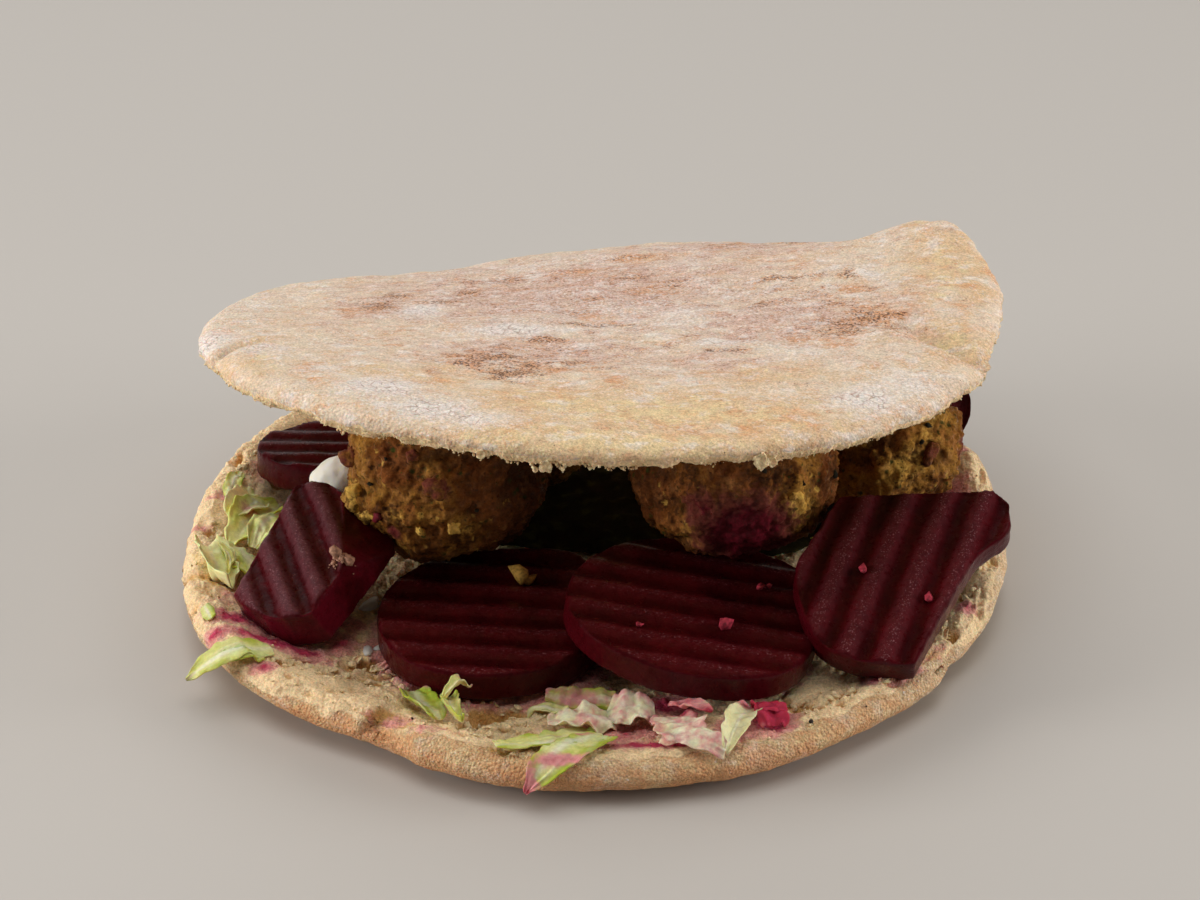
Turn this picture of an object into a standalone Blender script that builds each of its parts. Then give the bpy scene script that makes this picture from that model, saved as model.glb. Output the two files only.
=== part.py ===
"""A falafel pita: a round flat bread, split open at the front and still lying shut at the back.

The lower half lies flat like a shallow dish. On it lie a bed of lettuce, four falafel balls, six ridged
slices of pickled beetroot, shreds of lettuce and a dollop of white sauce. The upper half leans on the
falafel balls, rises towards the open front and comes down on the lower half's rim at the back.

Metres, +Z up. The origin is the middle of the underside, and the open side faces -Y.
"""

import math

import bmesh
import bpy
from mathutils import Matrix, Vector, noise

MM = 0.001
DEG = math.pi / 180

# ---------------------------------------------------------------- driving dimensions
PITA_RADIUS = 73.5 * MM
GAP = 0.3 * MM  # between two pieces that touch
ROUND_STEPS = 60  # turns of each half of the bread

# Lower half: the upper side from the middle to the crest of the rim, then the crust round and under.
CRUMB_SIDE = [(0.0, 4.8), (0.41, 4.8), (0.68, 5.0), (0.82, 6.0), (0.90, 7.6), (0.945, 8.4)]
CRUST_SIDE = [(0.98, 7.6), (1.0, 5.4), (0.985, 3.2), (0.945, 1.3), (0.89, 0.3), (0.82, 0.0)]
UNDERSIDE = [(0.41, 0.0), (0.0, 0.0)]
EDGE_STARTS = 0.72  # share of the radius where the rim's own shape begins
RIM_ROUNDING = 4.3 * MM  # radius of the rim's turn from the crest to its outer side

# Departures of the lower half from a plain round dish: azimuth, half width in degrees, amount in mm.
LOWER_OUTLINE = [
    (12, 26, 1.8), (205, 16, 2.0), (236, 14, -3.2), (238, 4, -1.0), (275, 22, -1.2), (309, 15, -1.6),
    (332, 4.5, -1.8),
]
RIM_RISES = [(18, 24, 4.5), (152, 26, 3.6), (247, 9, 0.8)]
RIM_LIFTS = [(203, 20, 2.6), (350, 12, 1.4)]
CRUMB_WAVE_HEIGHT = 0.5 * MM
CRUMB_WAVE_LENGTH = 14 * MM

# Upper half: an oval leaning sheet with a rounded lip.
TOP_CENTRE = Vector((2.8 * MM, 7.5 * MM))
TOP_HALF_WIDTH = 72.5 * MM
TOP_HALF_DEPTH = 66.0 * MM
TOP_THICKNESS = 5.5 * MM
TOP_MIDDLE_Z = 50.0 * MM
TOP_SLOPE = 0.18  # rises towards the open front
TOP_TILT = 0.03  # rises to the right
TOP_TWIST = 1.5  # per metre: the right back corner stands up, the left back one lies low
TOP_DISH = 0.5  # per metre: both ends curl up
TOP_OUTLINE = [
    (217, 24, 1.2), (281, 20, -2.4), (322, 20, -1.8), (348, 12, -3.0), (5, 14, -0.8), (32, 16, 2.8),
]
TOP_PROFILE = [
    (0.0, 0.0), (0.30, 0.0), (0.55, 0.0), (0.75, 0.0), (0.88, -0.03), (0.96, -0.16), (0.995, -0.42),
    (0.99, -0.72), (0.955, -0.94), (0.88, -1.0), (0.70, -1.0), (0.40, -1.0), (0.0, -1.0),
]
HINGE_AZIMUTH = 92  # middle of the stretch where the two halves lie on each other
HINGE_FULL = 24  # degrees either side that lie on the lower rim
HINGE_GONE = 62  # degrees either side where the upper half stands free
BEND_STARTS = 0.55  # share of the radius where the upper half turns down at the back
BEND_POWER = 2.9
SIDE_DROPS = [(180, 30, 0.6), (355, 30, 2.5), (268, 40, 0.6)]
TOP_BULGE = (62 * MM, 44 * MM, 11 * MM, 3.2 * MM)  # place, reach and height of the raised back corner
FOLD_FROM = Vector((49.0 * MM, 8.5 * MM))
FOLD_TO = Vector((65.0 * MM, -17.0 * MM))
FOLD_HEIGHT = 1.3 * MM
FOLD_WIDTH = 3.2 * MM

FALAFEL_STEPS = (18, 11)
FALAFEL_LUMPS = 0.07  # share of its radius by which a ball is uneven
SAUCE_STEPS = (12, 8)
SAUCE_LUMPS = 0.12
RIDGE_PITCH = 6.5 * MM
RIDGE_HEIGHT = 0.9 * MM
SLICE_THICKNESS = 5.0 * MM
COLUMNS_PER_RIDGE = 4
SLICE_ROWS = 4
LEFT_SLICE_CUTS = [(150, 10.2), (-35, 12.5), (3, 8.6)]  # azimuth, and mm from the slice's middle
RIGHT_SLICE_CUTS = [(-9, 8.6)]
LEAST_SPAN = 0.3  # the end columns of a slice are at least this share of its radius long
LEAF_THICKNESS = 1.1 * MM
LEAF_CELLS = (6, 3)
LEAF_RIPPLES = (9, 4)  # radians along a shred, and from its middle to its edge
BED_MIDDLE = (12, 16)  # mm, as the next two
BED_HALF_SIZES = (46, 21)
BED_THICKNESS = 3.2
BED_STEPS = (24, 7)

BREAD = ("bread", (0.67, 0.52, 0.37, 1), 0.85)
FALAFEL = ("falafel", (0.19, 0.10, 0.03, 1), 0.75)
BEETROOT = ("beetroot", (0.045, 0.004, 0.007, 1), 0.25)
SAUCE = ("sauce", (0.72, 0.66, 0.52, 1), 0.3)
GREEN_LETTUCE = ("green_lettuce", (0.30, 0.36, 0.06, 1), 0.5)
PALE_LETTUCE = ("pale_lettuce", (0.62, 0.55, 0.28, 1), 0.5)
PINK_LETTUCE = ("pink_lettuce", (0.52, 0.16, 0.15, 1), 0.5)


# ---------------------------------------------------------------- small tools
def smooth(low, high, value):
    """0 below low, 1 above high, eased in between."""
    share = min(max((value - low) / (high - low), 0.0), 1.0)
    return share * share * (3 - 2 * share)


def bumps(azimuth, wanted):
    """The sum of soft bumps round a rim, each an azimuth, a half width in degrees and an amount in mm."""
    total = 0.0
    for centre, width, amount in wanted:
        away = (math.degrees(azimuth) - centre + 180) % 360 - 180
        total += amount * MM * math.exp(-((away / width) ** 2))
    return total


def material(look):
    name, colour, roughness = look
    made = bpy.data.materials.get(name) or bpy.data.materials.new(name)
    made.use_nodes = True
    shader = made.node_tree.nodes["Principled BSDF"]
    shader.inputs["Base Color"].default_value = colour
    shader.inputs["Roughness"].default_value = roughness
    return made


def add_object(name, mesh, look):
    """Puts a mesh in the scene as a named piece. Its material is its own copy of the look."""
    piece = bpy.data.objects.new(name, mesh)
    own = material(look).copy()
    own.name = f"{look[0]}_{name}"
    mesh.materials.clear()
    mesh.materials.append(own)
    mesh.shade_smooth()
    mesh.set_sharp_from_angle(angle=50 * DEG)
    PIECES.objects.link(piece)
    return piece


def turned_mesh(name, profile, steps):
    """A profile in the XZ plane, turned once round Z."""
    bm = bmesh.new()
    points = [bm.verts.new((x, 0, z)) for x, z in profile]
    for first, second in zip(points, points[1:]):
        bm.edges.new((first, second))
    outline = bpy.data.meshes.new(f"{name}_profile")
    bm.to_mesh(outline)
    bm.free()
    lathe = bpy.data.objects.new(f"{name}_lathe", outline)
    PIECES.objects.link(lathe)
    screw = lathe.modifiers.new("turn", "SCREW")
    screw.steps = screw.render_steps = steps
    screw.use_merge_vertices = True
    screw.merge_threshold = 0.00001
    bpy.context.view_layer.update()
    turned = bpy.data.meshes.new_from_object(lathe.evaluated_get(bpy.context.evaluated_depsgraph_get()))
    turned.name = name
    bpy.data.objects.remove(lathe)
    return turned


def reshape(mesh, rule):
    """Moves every vertex to where the rule puts it."""
    for vertex in mesh.vertices:
        vertex.co = rule(vertex.co.copy())


# ---------------------------------------------------------------- the bread
def lower_edge_shape(flat_radius, azimuth):
    """How far the rim's own shape pushes a point outwards, raises it and lifts it, at this radius."""
    weight = smooth(EDGE_STARTS * PITA_RADIUS, PITA_RADIUS, flat_radius)
    out = weight * bumps(azimuth, LOWER_OUTLINE)
    rise = weight * bumps(azimuth, RIM_RISES)
    lift = weight**2 * bumps(azimuth, RIM_LIFTS)
    return out, rise, lift


def crumb_waves(x, y):
    """The gentle unevenness of the torn inside of the bread, fading towards the rim."""
    fading = smooth(1.09 * PITA_RADIUS, 0.68 * PITA_RADIUS, math.hypot(x, y))
    return CRUMB_WAVE_HEIGHT * noise.noise(Vector((x, y, 0)) / CRUMB_WAVE_LENGTH) * fading


def shape_lower(co):
    azimuth, radius = math.atan2(co.y, co.x), math.hypot(co.x, co.y)
    out, rise, lift = lower_edge_shape(radius, azimuth)
    height = co.z + lift + rise * smooth(0, 8 * MM, co.z)
    if co.z > 4 * MM:
        height += crumb_waves(co.x, co.y)
    return Vector(((radius + out) * math.cos(azimuth), (radius + out) * math.sin(azimuth), height))


def pita_bottom():
    sides = CRUMB_SIDE + CRUST_SIDE + UNDERSIDE
    profile = [(share * PITA_RADIUS, height * MM) for share, height in sides]
    mesh = turned_mesh("pita_bottom", profile, ROUND_STEPS)
    reshape(mesh, shape_lower)
    return add_object("pita_bottom", mesh, BREAD)


def crumb_top(x, y):
    """Height of the lower half's upper side over a place inside its rim."""
    azimuth, radius = math.atan2(y, x), math.hypot(x, y)
    out, rise, lift = lower_edge_shape(radius, azimuth)
    share = (radius - out) / PITA_RADIUS
    height = CRUMB_SIDE[-1][1]
    for (low, low_z), (high, high_z) in zip(CRUMB_SIDE, CRUMB_SIDE[1:]):
        if low <= share < high:
            height = low_z + (high_z - low_z) * (share - low) / (high - low)
    return height * MM + lift + rise + crumb_waves(x, y)


def lower_crest(azimuth):
    """Height of the highest line of the lower half's rim."""
    radius = CRUMB_SIDE[-1][0] * PITA_RADIUS
    _, rise, lift = lower_edge_shape(radius, azimuth)
    return CRUMB_SIDE[-1][1] * MM + rise + lift


def fold(x, y):
    """The crease near the right end of the upper half: a lit ridge in front of a narrow valley."""
    along = FOLD_TO - FOLD_FROM
    here = Vector((x, y)) - FOLD_FROM
    share = here.dot(along) / along.length_squared
    off = along.cross(here) / along.length
    ends = smooth(-0.2, 0.5, share) * smooth(1.6, 1.1, share)
    ridge = math.exp(-(((off + 1.2 * FOLD_WIDTH) / FOLD_WIDTH) ** 2))
    valley = math.exp(-((off / (0.7 * FOLD_WIDTH)) ** 2))
    return ends * FOLD_HEIGHT * (0.8 * ridge - valley)


def top_height(x, y):
    """Height of the upper half's crust, before its lip is rounded."""
    x_off, y_off = x - TOP_CENTRE.x, y - TOP_CENTRE.y
    azimuth = math.atan2(y_off / TOP_HALF_DEPTH, x_off / TOP_HALF_WIDTH)
    share = math.hypot(x_off / TOP_HALF_WIDTH, y_off / TOP_HALF_DEPTH)
    plane = TOP_MIDDLE_Z - TOP_SLOPE * y_off + TOP_TILT * x + TOP_TWIST * x * y_off + TOP_DISH * x * x
    away = abs((math.degrees(azimuth) - HINGE_AZIMUTH + 180) % 360 - 180)
    hinge = smooth(HINGE_GONE, HINGE_FULL, away)
    foot = lower_crest(azimuth) + GAP + 0.9 * TOP_THICKNESS
    drop = hinge * max(plane - foot, 0) + (1 - hinge) * bumps(azimuth, SIDE_DROPS)
    turned_down = max((share - BEND_STARTS) / (1 - BEND_STARTS), 0) ** BEND_POWER
    bulge_x, bulge_y, reach, height = TOP_BULGE
    bulge = height * math.exp(-(((x - bulge_x) / reach) ** 2) - ((y - bulge_y) / reach) ** 2)
    return plane - drop * turned_down + bulge + fold(x, y)


def shape_top(co):
    """Takes a point of the turned disc, one unit in radius and in thickness, to the leaning oval sheet."""
    azimuth, share = math.atan2(co.y, co.x), math.hypot(co.x, co.y)
    outline = 1 + bumps(azimuth, TOP_OUTLINE) / PITA_RADIUS * smooth(0.5, 1.0, share)
    x = TOP_CENTRE.x + share * outline * TOP_HALF_WIDTH * math.cos(azimuth)
    y = TOP_CENTRE.y + share * outline * TOP_HALF_DEPTH * math.sin(azimuth)
    step = 0.5 * MM
    slope_x = (top_height(x + step, y) - top_height(x - step, y)) / (2 * step)
    slope_y = (top_height(x, y + step) - top_height(x, y - step)) / (2 * step)
    normal = Vector((-slope_x, -slope_y, 1)).normalized()
    place = Vector((x, y, top_height(x, y))) + normal * co.z * TOP_THICKNESS
    from_middle = math.hypot(place.x, place.y)
    if from_middle > 0.8 * PITA_RADIUS and place.y > 0:
        place.z = max(place.z, lower_crest(math.atan2(place.y, place.x)) + GAP)
    return place


def pita_top():
    mesh = turned_mesh("pita_top", TOP_PROFILE, ROUND_STEPS)
    reshape(mesh, shape_top)
    return add_object("pita_top", mesh, BREAD)


# ---------------------------------------------------------------- falafel and sauce
def lumpy_ball(name, centre, radii, look, seed, lumps=FALAFEL_LUMPS, floor=0.0, steps=FALAFEL_STEPS):
    """A ball with a crumbly, uneven outline, flat where it sits. Sizes and places are in mm."""
    bm = bmesh.new()
    bmesh.ops.create_uvsphere(bm, u_segments=steps[0], v_segments=steps[1], radius=1)
    for vertex in bm.verts:
        out = vertex.co.normalized()
        swell = 1 + lumps * noise.noise(out * 1.6 + Vector((seed, 0, 0)))
        swell += 0.5 * lumps * noise.noise(out * 4.0 + Vector((0, seed, 0)))
        for axis in range(3):
            vertex.co[axis] = (centre[axis] + radii[axis] * swell * out[axis]) * MM
        vertex.co.z = max(vertex.co.z, floor * MM + 0.02 * MM * (1 + out.z))
    mesh = bpy.data.meshes.new(name)
    bm.to_mesh(mesh)
    bm.free()
    return add_object(name, mesh, look)


# ---------------------------------------------------------------- beetroot
def slice_span(across, radii, flats):
    """The front and back ends of a slice at this place across its ridges. Flats are straight cut sides."""
    half = radii[1] * math.sqrt(max(1 - (across / radii[0]) ** 2, 0))
    front, back = -half, half
    for azimuth, distance in flats:
        x, y = math.cos(azimuth * DEG), math.sin(azimuth * DEG)
        limit = (distance * MM - across * x) / y
        front, back = (front, min(back, limit)) if y > 0 else (max(front, limit), back)
    return front, back


def slice_width(radii, flats):
    """How far the slice reaches to either side, across its ridges."""
    steps = 400
    places = [radii[0] * (2 * step / steps - 1) for step in range(steps + 1)]
    kept = []
    for across in places:
        front, back = slice_span(across, radii, flats)
        if back - front > LEAST_SPAN * radii[1]:
            kept.append(across)
    return kept[0], kept[-1]


def beet_slice(name, place, radii, ridge_turn, tilt, flats=(), pitch=RIDGE_PITCH):
    """A wavy-cut slice, its ridges along its own Y. The tilts lift its back and its left side, in degrees."""
    radii = [radius * MM for radius in radii]
    left, right = slice_width(radii, flats)
    columns = round((right - left) / pitch * COLUMNS_PER_RIDGE)
    bm = bmesh.new()
    bmesh.ops.create_grid(bm, x_segments=columns, y_segments=SLICE_ROWS, size=1)
    for vertex in bm.verts:
        across = left + (right - left) * (vertex.co.x + 1) / 2
        front, back = slice_span(across, radii, flats)
        along = front + (back - front) * (vertex.co.y + 1) / 2
        vertex.co = Vector((across, along, 0.5 * RIDGE_HEIGHT * math.cos(2 * math.pi * across / pitch)))
    mesh = bpy.data.meshes.new(name)
    bm.to_mesh(mesh)
    bm.free()
    piece = add_object(name, mesh, BEETROOT)
    shell = piece.modifiers.new("thickness", "SOLIDIFY")
    shell.thickness = SLICE_THICKNESS
    shell.offset = 0
    lean = Matrix.Rotation(tilt[0] * DEG, 4, "X") @ Matrix.Rotation(tilt[1] * DEG, 4, "Y")
    turn = Matrix.Rotation(ridge_turn * DEG, 4, "Z")
    piece.matrix_world = Matrix.Translation(Vector(place) * MM) @ lean @ turn
    return piece


# ---------------------------------------------------------------- lettuce
def on_bread(x, y, height, droop):
    """A point this high over the lower half. Past the crest it runs on round the rim and down or, with less
    droop, stands out over it."""
    azimuth, radius = math.atan2(y, x), math.hypot(x, y)
    out = lower_edge_shape(radius, azimuth)[0]
    crest = CRUMB_SIDE[-1][0] * PITA_RADIUS + out
    past = radius - crest
    if past <= 0:
        return Vector((x, y, crumb_top(x, y) + height))
    turn = RIM_ROUNDING + height
    angle = min(past / turn, math.pi / 2)
    round_it = crest + turn * math.sin(angle)
    down = turn * (1 - math.cos(angle)) + max(past - turn * math.pi / 2, 0)
    radius += droop * (round_it - radius)
    z = lower_crest(azimuth) + height - droop * down
    return Vector((radius * math.cos(azimuth), radius * math.sin(azimuth), z))


def leaf(name, ends, width, look, lift=0.0, arch=0.0, cup=0.0, ruffle=0.5, taper=0.6, droop=1.0, seed=0.0):
    """A shred of leaf between two ends, in mm. It lies on the bread under it, lifted off it where asked."""
    start, end = (Vector((*place, 0)) for place in ends)
    side = Vector((start.y - end.y, end.x - start.x, 0)).normalized()
    bm = bmesh.new()
    bmesh.ops.create_grid(bm, x_segments=LEAF_CELLS[0], y_segments=LEAF_CELLS[1], size=1)
    for vertex in bm.verts:
        along, across = (vertex.co.x + 1) / 2, vertex.co.y
        half = width / 2 * (1 - taper * abs(2 * along - 1) ** 2.2)
        spot = start.lerp(end, along) + side * half * across
        wave = math.sin(LEAF_RIPPLES[0] * along + LEAF_RIPPLES[1] * across + seed) * (0.4 + abs(across))
        height = lift + arch * math.sin(math.pi * along) + cup * across**2 + ruffle * (wave + 1.4)
        vertex.co = on_bread(spot.x * MM, spot.y * MM, height * MM + 0.9 * LEAF_THICKNESS + GAP, droop)
    mesh = bpy.data.meshes.new(name)
    bm.to_mesh(mesh)
    bm.free()
    piece = add_object(name, mesh, look)
    shell = piece.modifiers.new("thickness", "SOLIDIFY")
    shell.thickness = LEAF_THICKNESS
    shell.offset = 0
    return piece


def lettuce_bed():
    """The flat heap of lettuce under the falafel balls, one solid out to its uneven edge."""
    bm = bmesh.new()
    bmesh.ops.create_uvsphere(bm, u_segments=BED_STEPS[0], v_segments=BED_STEPS[1], radius=1)
    for vertex in bm.verts:
        azimuth = math.atan2(vertex.co.y, vertex.co.x)
        share = math.hypot(vertex.co.x, vertex.co.y) ** 0.8
        edge = 1 + 0.06 * math.sin(5 * azimuth + 1) + 0.04 * math.sin(9 * azimuth)
        x = (BED_MIDDLE[0] + BED_HALF_SIZES[0] * share * edge * math.cos(azimuth)) * MM
        y = (BED_MIDDLE[1] + BED_HALF_SIZES[1] * share * edge * math.sin(azimuth)) * MM
        floor = crumb_top(x, y) + 2 * GAP
        thick = (1 + 0.3 * noise.noise(Vector((x, y, 0)) / (9 * MM))) * BED_THICKNESS * MM
        vertex.co = Vector((x, y, floor + thick * (vertex.co.z + 1) / 2))
    mesh = bpy.data.meshes.new("lettuce_bed")
    bm.to_mesh(mesh)
    bm.free()
    return add_object("lettuce_bed", mesh, GREEN_LETTUCE)


# ---------------------------------------------------------------- the whole pita
def fill_with_falafel():
    lumpy_ball("falafel_left", (-26, -6, 27.3), (18.0, 15.0, 18.2), FALAFEL, seed=1.0, floor=11.9)
    lumpy_ball("falafel_middle", (24.8, -8.5, 29.0), (18.2, 17.4, 17.6), FALAFEL, seed=4.0, floor=16.2)
    lumpy_ball("falafel_back", (-12, 21, 23.0), (13.0, 12.6, 14.5), FALAFEL, seed=7.0, floor=8.9)
    lumpy_ball("falafel_right", (52.2, 8.6, 23.2), (14.6, 13.6, 14.2), FALAFEL, seed=11.0, floor=10.0)


def fill_with_beetroot():
    beet_slice("beet_back_left", (-46.4, 17.9, 14.8), (12.4, 15.5), 88, (-9, 0), pitch=5.5 * MM)
    beet_slice("beet_left", (-49.9, -18.7, 16.0), (13.0, 16.5), 8, (15, -17), LEFT_SLICE_CUTS, 5.4 * MM)
    beet_slice("beet_front_left", (-16.9, -28.2, 8.6), (20.0, 20.6), 84, (0, 0))
    beet_slice("beet_front_middle", (16.0, -31, 12.7), (20.0, 21.8), 84, (1, 7))
    beet_slice("beet_right", (56.6, -27.3, 18.5), (19.4, 20.5), -20, (21.5, 0), RIGHT_SLICE_CUTS)
    beet_slice("beet_back_right", (58.6, 26.4, 21.4), (11.5, 9.5), 0, (72, 0))


def fill_with_lettuce():
    leaf("lettuce_curl_left", [(-59.5, 9), (-65, -4)], 8, GREEN_LETTUCE, arch=2.4, cup=1, seed=1)
    leaf("lettuce_cup_left", [(-68.2, -7), (-63.5, -17)], 6.5, PALE_LETTUCE, lift=-0.3, cup=2, seed=2)
    leaf("lettuce_bit_left", [(-66.5, 11.5), (-65.5, 18)], 3, GREEN_LETTUCE, lift=0.3, arch=0.5, seed=3)
    tip = [(-57, -39.5), (-70.5, -44)]
    leaf("lettuce_tip_left", tip, 5, PALE_LETTUCE, ruffle=0.3, taper=0.9, droop=0.5, seed=4)
    leaf("lettuce_strip_front", [(-29.5, -48), (-26.5, -57.5)], 5, GREEN_LETTUCE, arch=1, cup=0.6, seed=5)
    leaf("lettuce_rib_front", [(-22.2, -51), (-22.8, -60.5)], 4, PALE_LETTUCE, arch=2.4, cup=1, seed=6)
    leaf("lettuce_leaf_front", [(0, -59.5), (-11.5, -75.5)], 9, PALE_LETTUCE, ruffle=0.3, taper=0.7, seed=7)
    leaf("lettuce_under_beets", [(-7, -48.6), (3, -48.6)], 4, GREEN_LETTUCE, ruffle=0.2, seed=8)
    leaf("lettuce_pink_shred", [(9, -55), (20, -66)], 7, PINK_LETTUCE, arch=0.8, ruffle=0.4, seed=9)
    leaf("lettuce_pale_shred", [(25, -55), (24, -68)], 4.5, PALE_LETTUCE, arch=0.8, ruffle=0.3, seed=10)
    leaf("lettuce_pink_piece", [(29.2, -54), (31.2, -61)], 5.5, PINK_LETTUCE, arch=0.5, ruffle=0.3, seed=11)


def add_sauce():
    place, radii = (-45.9, 1.8, 20.0), (5.0, 3.5, 4.2)
    lumpy_ball("sauce_dollop", place, radii, SAUCE, seed=21.0, lumps=SAUCE_LUMPS, steps=SAUCE_STEPS)


for old in list(bpy.data.objects):
    bpy.data.objects.remove(old)
PIECES = bpy.data.collections.new("falafel_pita")
bpy.context.scene.collection.children.link(PIECES)

pita_bottom()
pita_top()
lettuce_bed()
fill_with_falafel()
fill_with_beetroot()
fill_with_lettuce()
add_sauce()
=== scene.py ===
# %% [markdown]
# # A falafel pita
#
# A round pita bread lies on the table, split open at the front. Between its two halves are falafel balls,
# wavy-cut slices of pickled beetroot, lettuce and a little white sauce.
#
# The plain solids of all this come from model.glb: they say where everything is and how large it is. This
# lesson puts the real surfaces over them, one ingredient at a time: first the bread, then what is in it, and
# last the crumbs and specks that make food look like food.

# %% Load the plain solids
import math

import bpy
import numpy as np
from mathutils import Matrix, Vector, noise
from mathutils.bvhtree import BVHTree


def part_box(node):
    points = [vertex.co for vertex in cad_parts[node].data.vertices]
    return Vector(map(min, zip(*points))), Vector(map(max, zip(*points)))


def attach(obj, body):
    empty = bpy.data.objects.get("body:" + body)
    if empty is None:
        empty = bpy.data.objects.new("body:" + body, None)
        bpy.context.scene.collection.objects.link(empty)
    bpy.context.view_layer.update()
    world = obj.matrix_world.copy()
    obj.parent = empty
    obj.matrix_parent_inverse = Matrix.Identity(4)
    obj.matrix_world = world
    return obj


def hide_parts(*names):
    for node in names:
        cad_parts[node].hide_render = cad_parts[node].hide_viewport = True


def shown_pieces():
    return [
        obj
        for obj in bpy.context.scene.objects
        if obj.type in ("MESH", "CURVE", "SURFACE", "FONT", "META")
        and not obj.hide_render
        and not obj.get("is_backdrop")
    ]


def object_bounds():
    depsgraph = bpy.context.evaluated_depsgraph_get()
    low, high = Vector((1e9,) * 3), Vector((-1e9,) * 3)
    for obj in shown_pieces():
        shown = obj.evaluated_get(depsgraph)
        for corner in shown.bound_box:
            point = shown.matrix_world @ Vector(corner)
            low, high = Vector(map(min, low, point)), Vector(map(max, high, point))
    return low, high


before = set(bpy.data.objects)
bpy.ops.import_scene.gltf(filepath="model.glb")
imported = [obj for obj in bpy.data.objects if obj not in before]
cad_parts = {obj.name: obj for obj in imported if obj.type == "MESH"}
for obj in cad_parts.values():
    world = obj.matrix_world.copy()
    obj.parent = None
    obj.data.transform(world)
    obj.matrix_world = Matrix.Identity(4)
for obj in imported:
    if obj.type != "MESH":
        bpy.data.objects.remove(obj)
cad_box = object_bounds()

MM = 0.001
DEGREE = math.pi / 180
ANY_TURN = 6.28  # radians
print("solids:", ", ".join(sorted(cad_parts)))

# %% [markdown]
# ## The camera
# Food is often shown from about 30 degrees above the table, as someone sitting at it would see it. A long
# lens from a little way off keeps the round bread round. The camera turns on a point near the middle of the
# bread, so its place follows from one distance and one angle.

# %% Camera
CAMERA_AIM = Vector((1.3 * MM, 46.5 * MM, 0))
CAMERA_DISTANCE = 0.695
CAMERA_ELEVATION = 30 * DEGREE

lens = bpy.data.cameras.new("camera")
lens.lens = 108
lens.sensor_width = 36
lens.clip_start = 0.01
camera = bpy.data.objects.new("camera", lens)
bpy.context.scene.collection.objects.link(camera)
back_off = Vector((0, -math.cos(CAMERA_ELEVATION), math.sin(CAMERA_ELEVATION)))
camera.location = CAMERA_AIM + back_off * CAMERA_DISTANCE
camera.rotation_euler = (math.pi / 2 - CAMERA_ELEVATION, 0, 0)
bpy.context.scene.camera = camera
print("camera at", [round(value, 3) for value in camera.location])

# %% [markdown]
# ## Light and table
# A large soft lamp hangs over the food, a little towards the viewer. Two more stand at the sides and shine
# in under the upper bread, so that the sauce and the outer sides of the falafel are lit while the mouth
# between them stays dark. A wide window behind the table puts a sheen on what is wet, and a dim pale world
# fills the shadows. The floor is plain and pale, so that no colour but the food's own catches the eye.

# %% Light and table
LAMPS = {
    # place in metres, size in metres, power in watts
    "overhead": ((-0.05, -0.02, 1.10), 1.1, 9.2),
    "left": ((-1.05, -0.15, 0.26), 0.5, 9.6),
    "right": ((1.05, -0.05, 0.26), 0.5, 8.0),
    "window": ((-0.30, 1.15, 0.90), 1.8, 6.0),
}
WORLD_COLOUR = (1.0, 0.94, 0.86, 1)
WORLD_STRENGTH = 0.07
FLOOR_COLOUR = (0.50, 0.465, 0.425, 1)


def add_lamp(name, place, size, power):
    """A square soft lamp that points at the middle of the pita."""
    data = bpy.data.lights.new(name, "AREA")
    data.size = size
    data.energy = power
    lamp = bpy.data.objects.new(name, data)
    bpy.context.scene.collection.objects.link(lamp)
    lamp.location = place
    lamp.rotation_euler = (-lamp.location).to_track_quat("-Z", "Y").to_euler()
    return lamp


for name, (place, size, power) in LAMPS.items():
    # Only the window shows in wet surfaces. The side lamps would put a white stripe on every ridge.
    add_lamp(name, place, size, power).visible_glossy = name == "window"
world = bpy.data.worlds.new("world")
bpy.context.scene.world = world
world.use_nodes = True
world.node_tree.nodes["Background"].inputs["Color"].default_value = WORLD_COLOUR
world.node_tree.nodes["Background"].inputs["Strength"].default_value = WORLD_STRENGTH
bpy.context.scene.view_settings.view_transform = "Standard"

bpy.ops.object.select_all(action="DESELECT")
bpy.ops.mesh.primitive_plane_add(size=8)
floor = bpy.context.object
floor.name = "floor"
floor_look = bpy.data.materials.new("floor")
floor_look.use_nodes = True
floor_look.node_tree.nodes["Principled BSDF"].inputs["Base Color"].default_value = FLOOR_COLOUR
floor_look.node_tree.nodes["Principled BSDF"].inputs["Roughness"].default_value = 0.6
floor.data.materials.append(floor_look)
floor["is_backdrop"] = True
print(len(LAMPS), "lamps, a world and a floor")

# %% [markdown]
# ## Tools for shaping
# Every ingredient starts from its plain solid or from a primitive. A few helpers do what a hand would do
# over and over: pick one piece, apply its modifiers, rebuild its surface as an even grid of small faces,
# and push that grid in and out with a procedural texture.

# %% Pick, apply, copy
def only(piece):
    """Makes this piece the only one that operators act on."""
    bpy.ops.object.select_all(action="DESELECT")
    piece.select_set(True)
    bpy.context.view_layer.objects.active = piece


def apply_modifiers(piece):
    only(piece)
    for modifier in list(piece.modifiers):
        bpy.ops.object.modifier_apply(modifier=modifier.name)


def working_copy(node, name):
    """A copy of a plain solid under its own name, with its loose triangles merged."""
    piece = bpy.data.objects.new(name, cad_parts[node].data.copy())
    bpy.context.scene.collection.objects.link(piece)
    piece.data.materials.clear()
    only(piece)
    bpy.ops.object.mode_set(mode="EDIT")
    bpy.ops.mesh.select_all(action="SELECT")
    bpy.ops.mesh.remove_doubles(threshold=0.01 * MM)
    bpy.ops.object.mode_set(mode="OBJECT")
    return piece


# %% Rebuild a surface as an even grid
def remesh(piece, cell, rounds):
    """Even faces of about this size. The smoothing rounds wear off the facets of the plain solid."""
    grid = piece.modifiers.new("grid", "REMESH")
    grid.mode = "VOXEL"
    grid.voxel_size = cell
    grid.use_smooth_shade = True
    soften = piece.modifiers.new("soften", "SMOOTH")
    soften.iterations = rounds
    apply_modifiers(piece)


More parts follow.
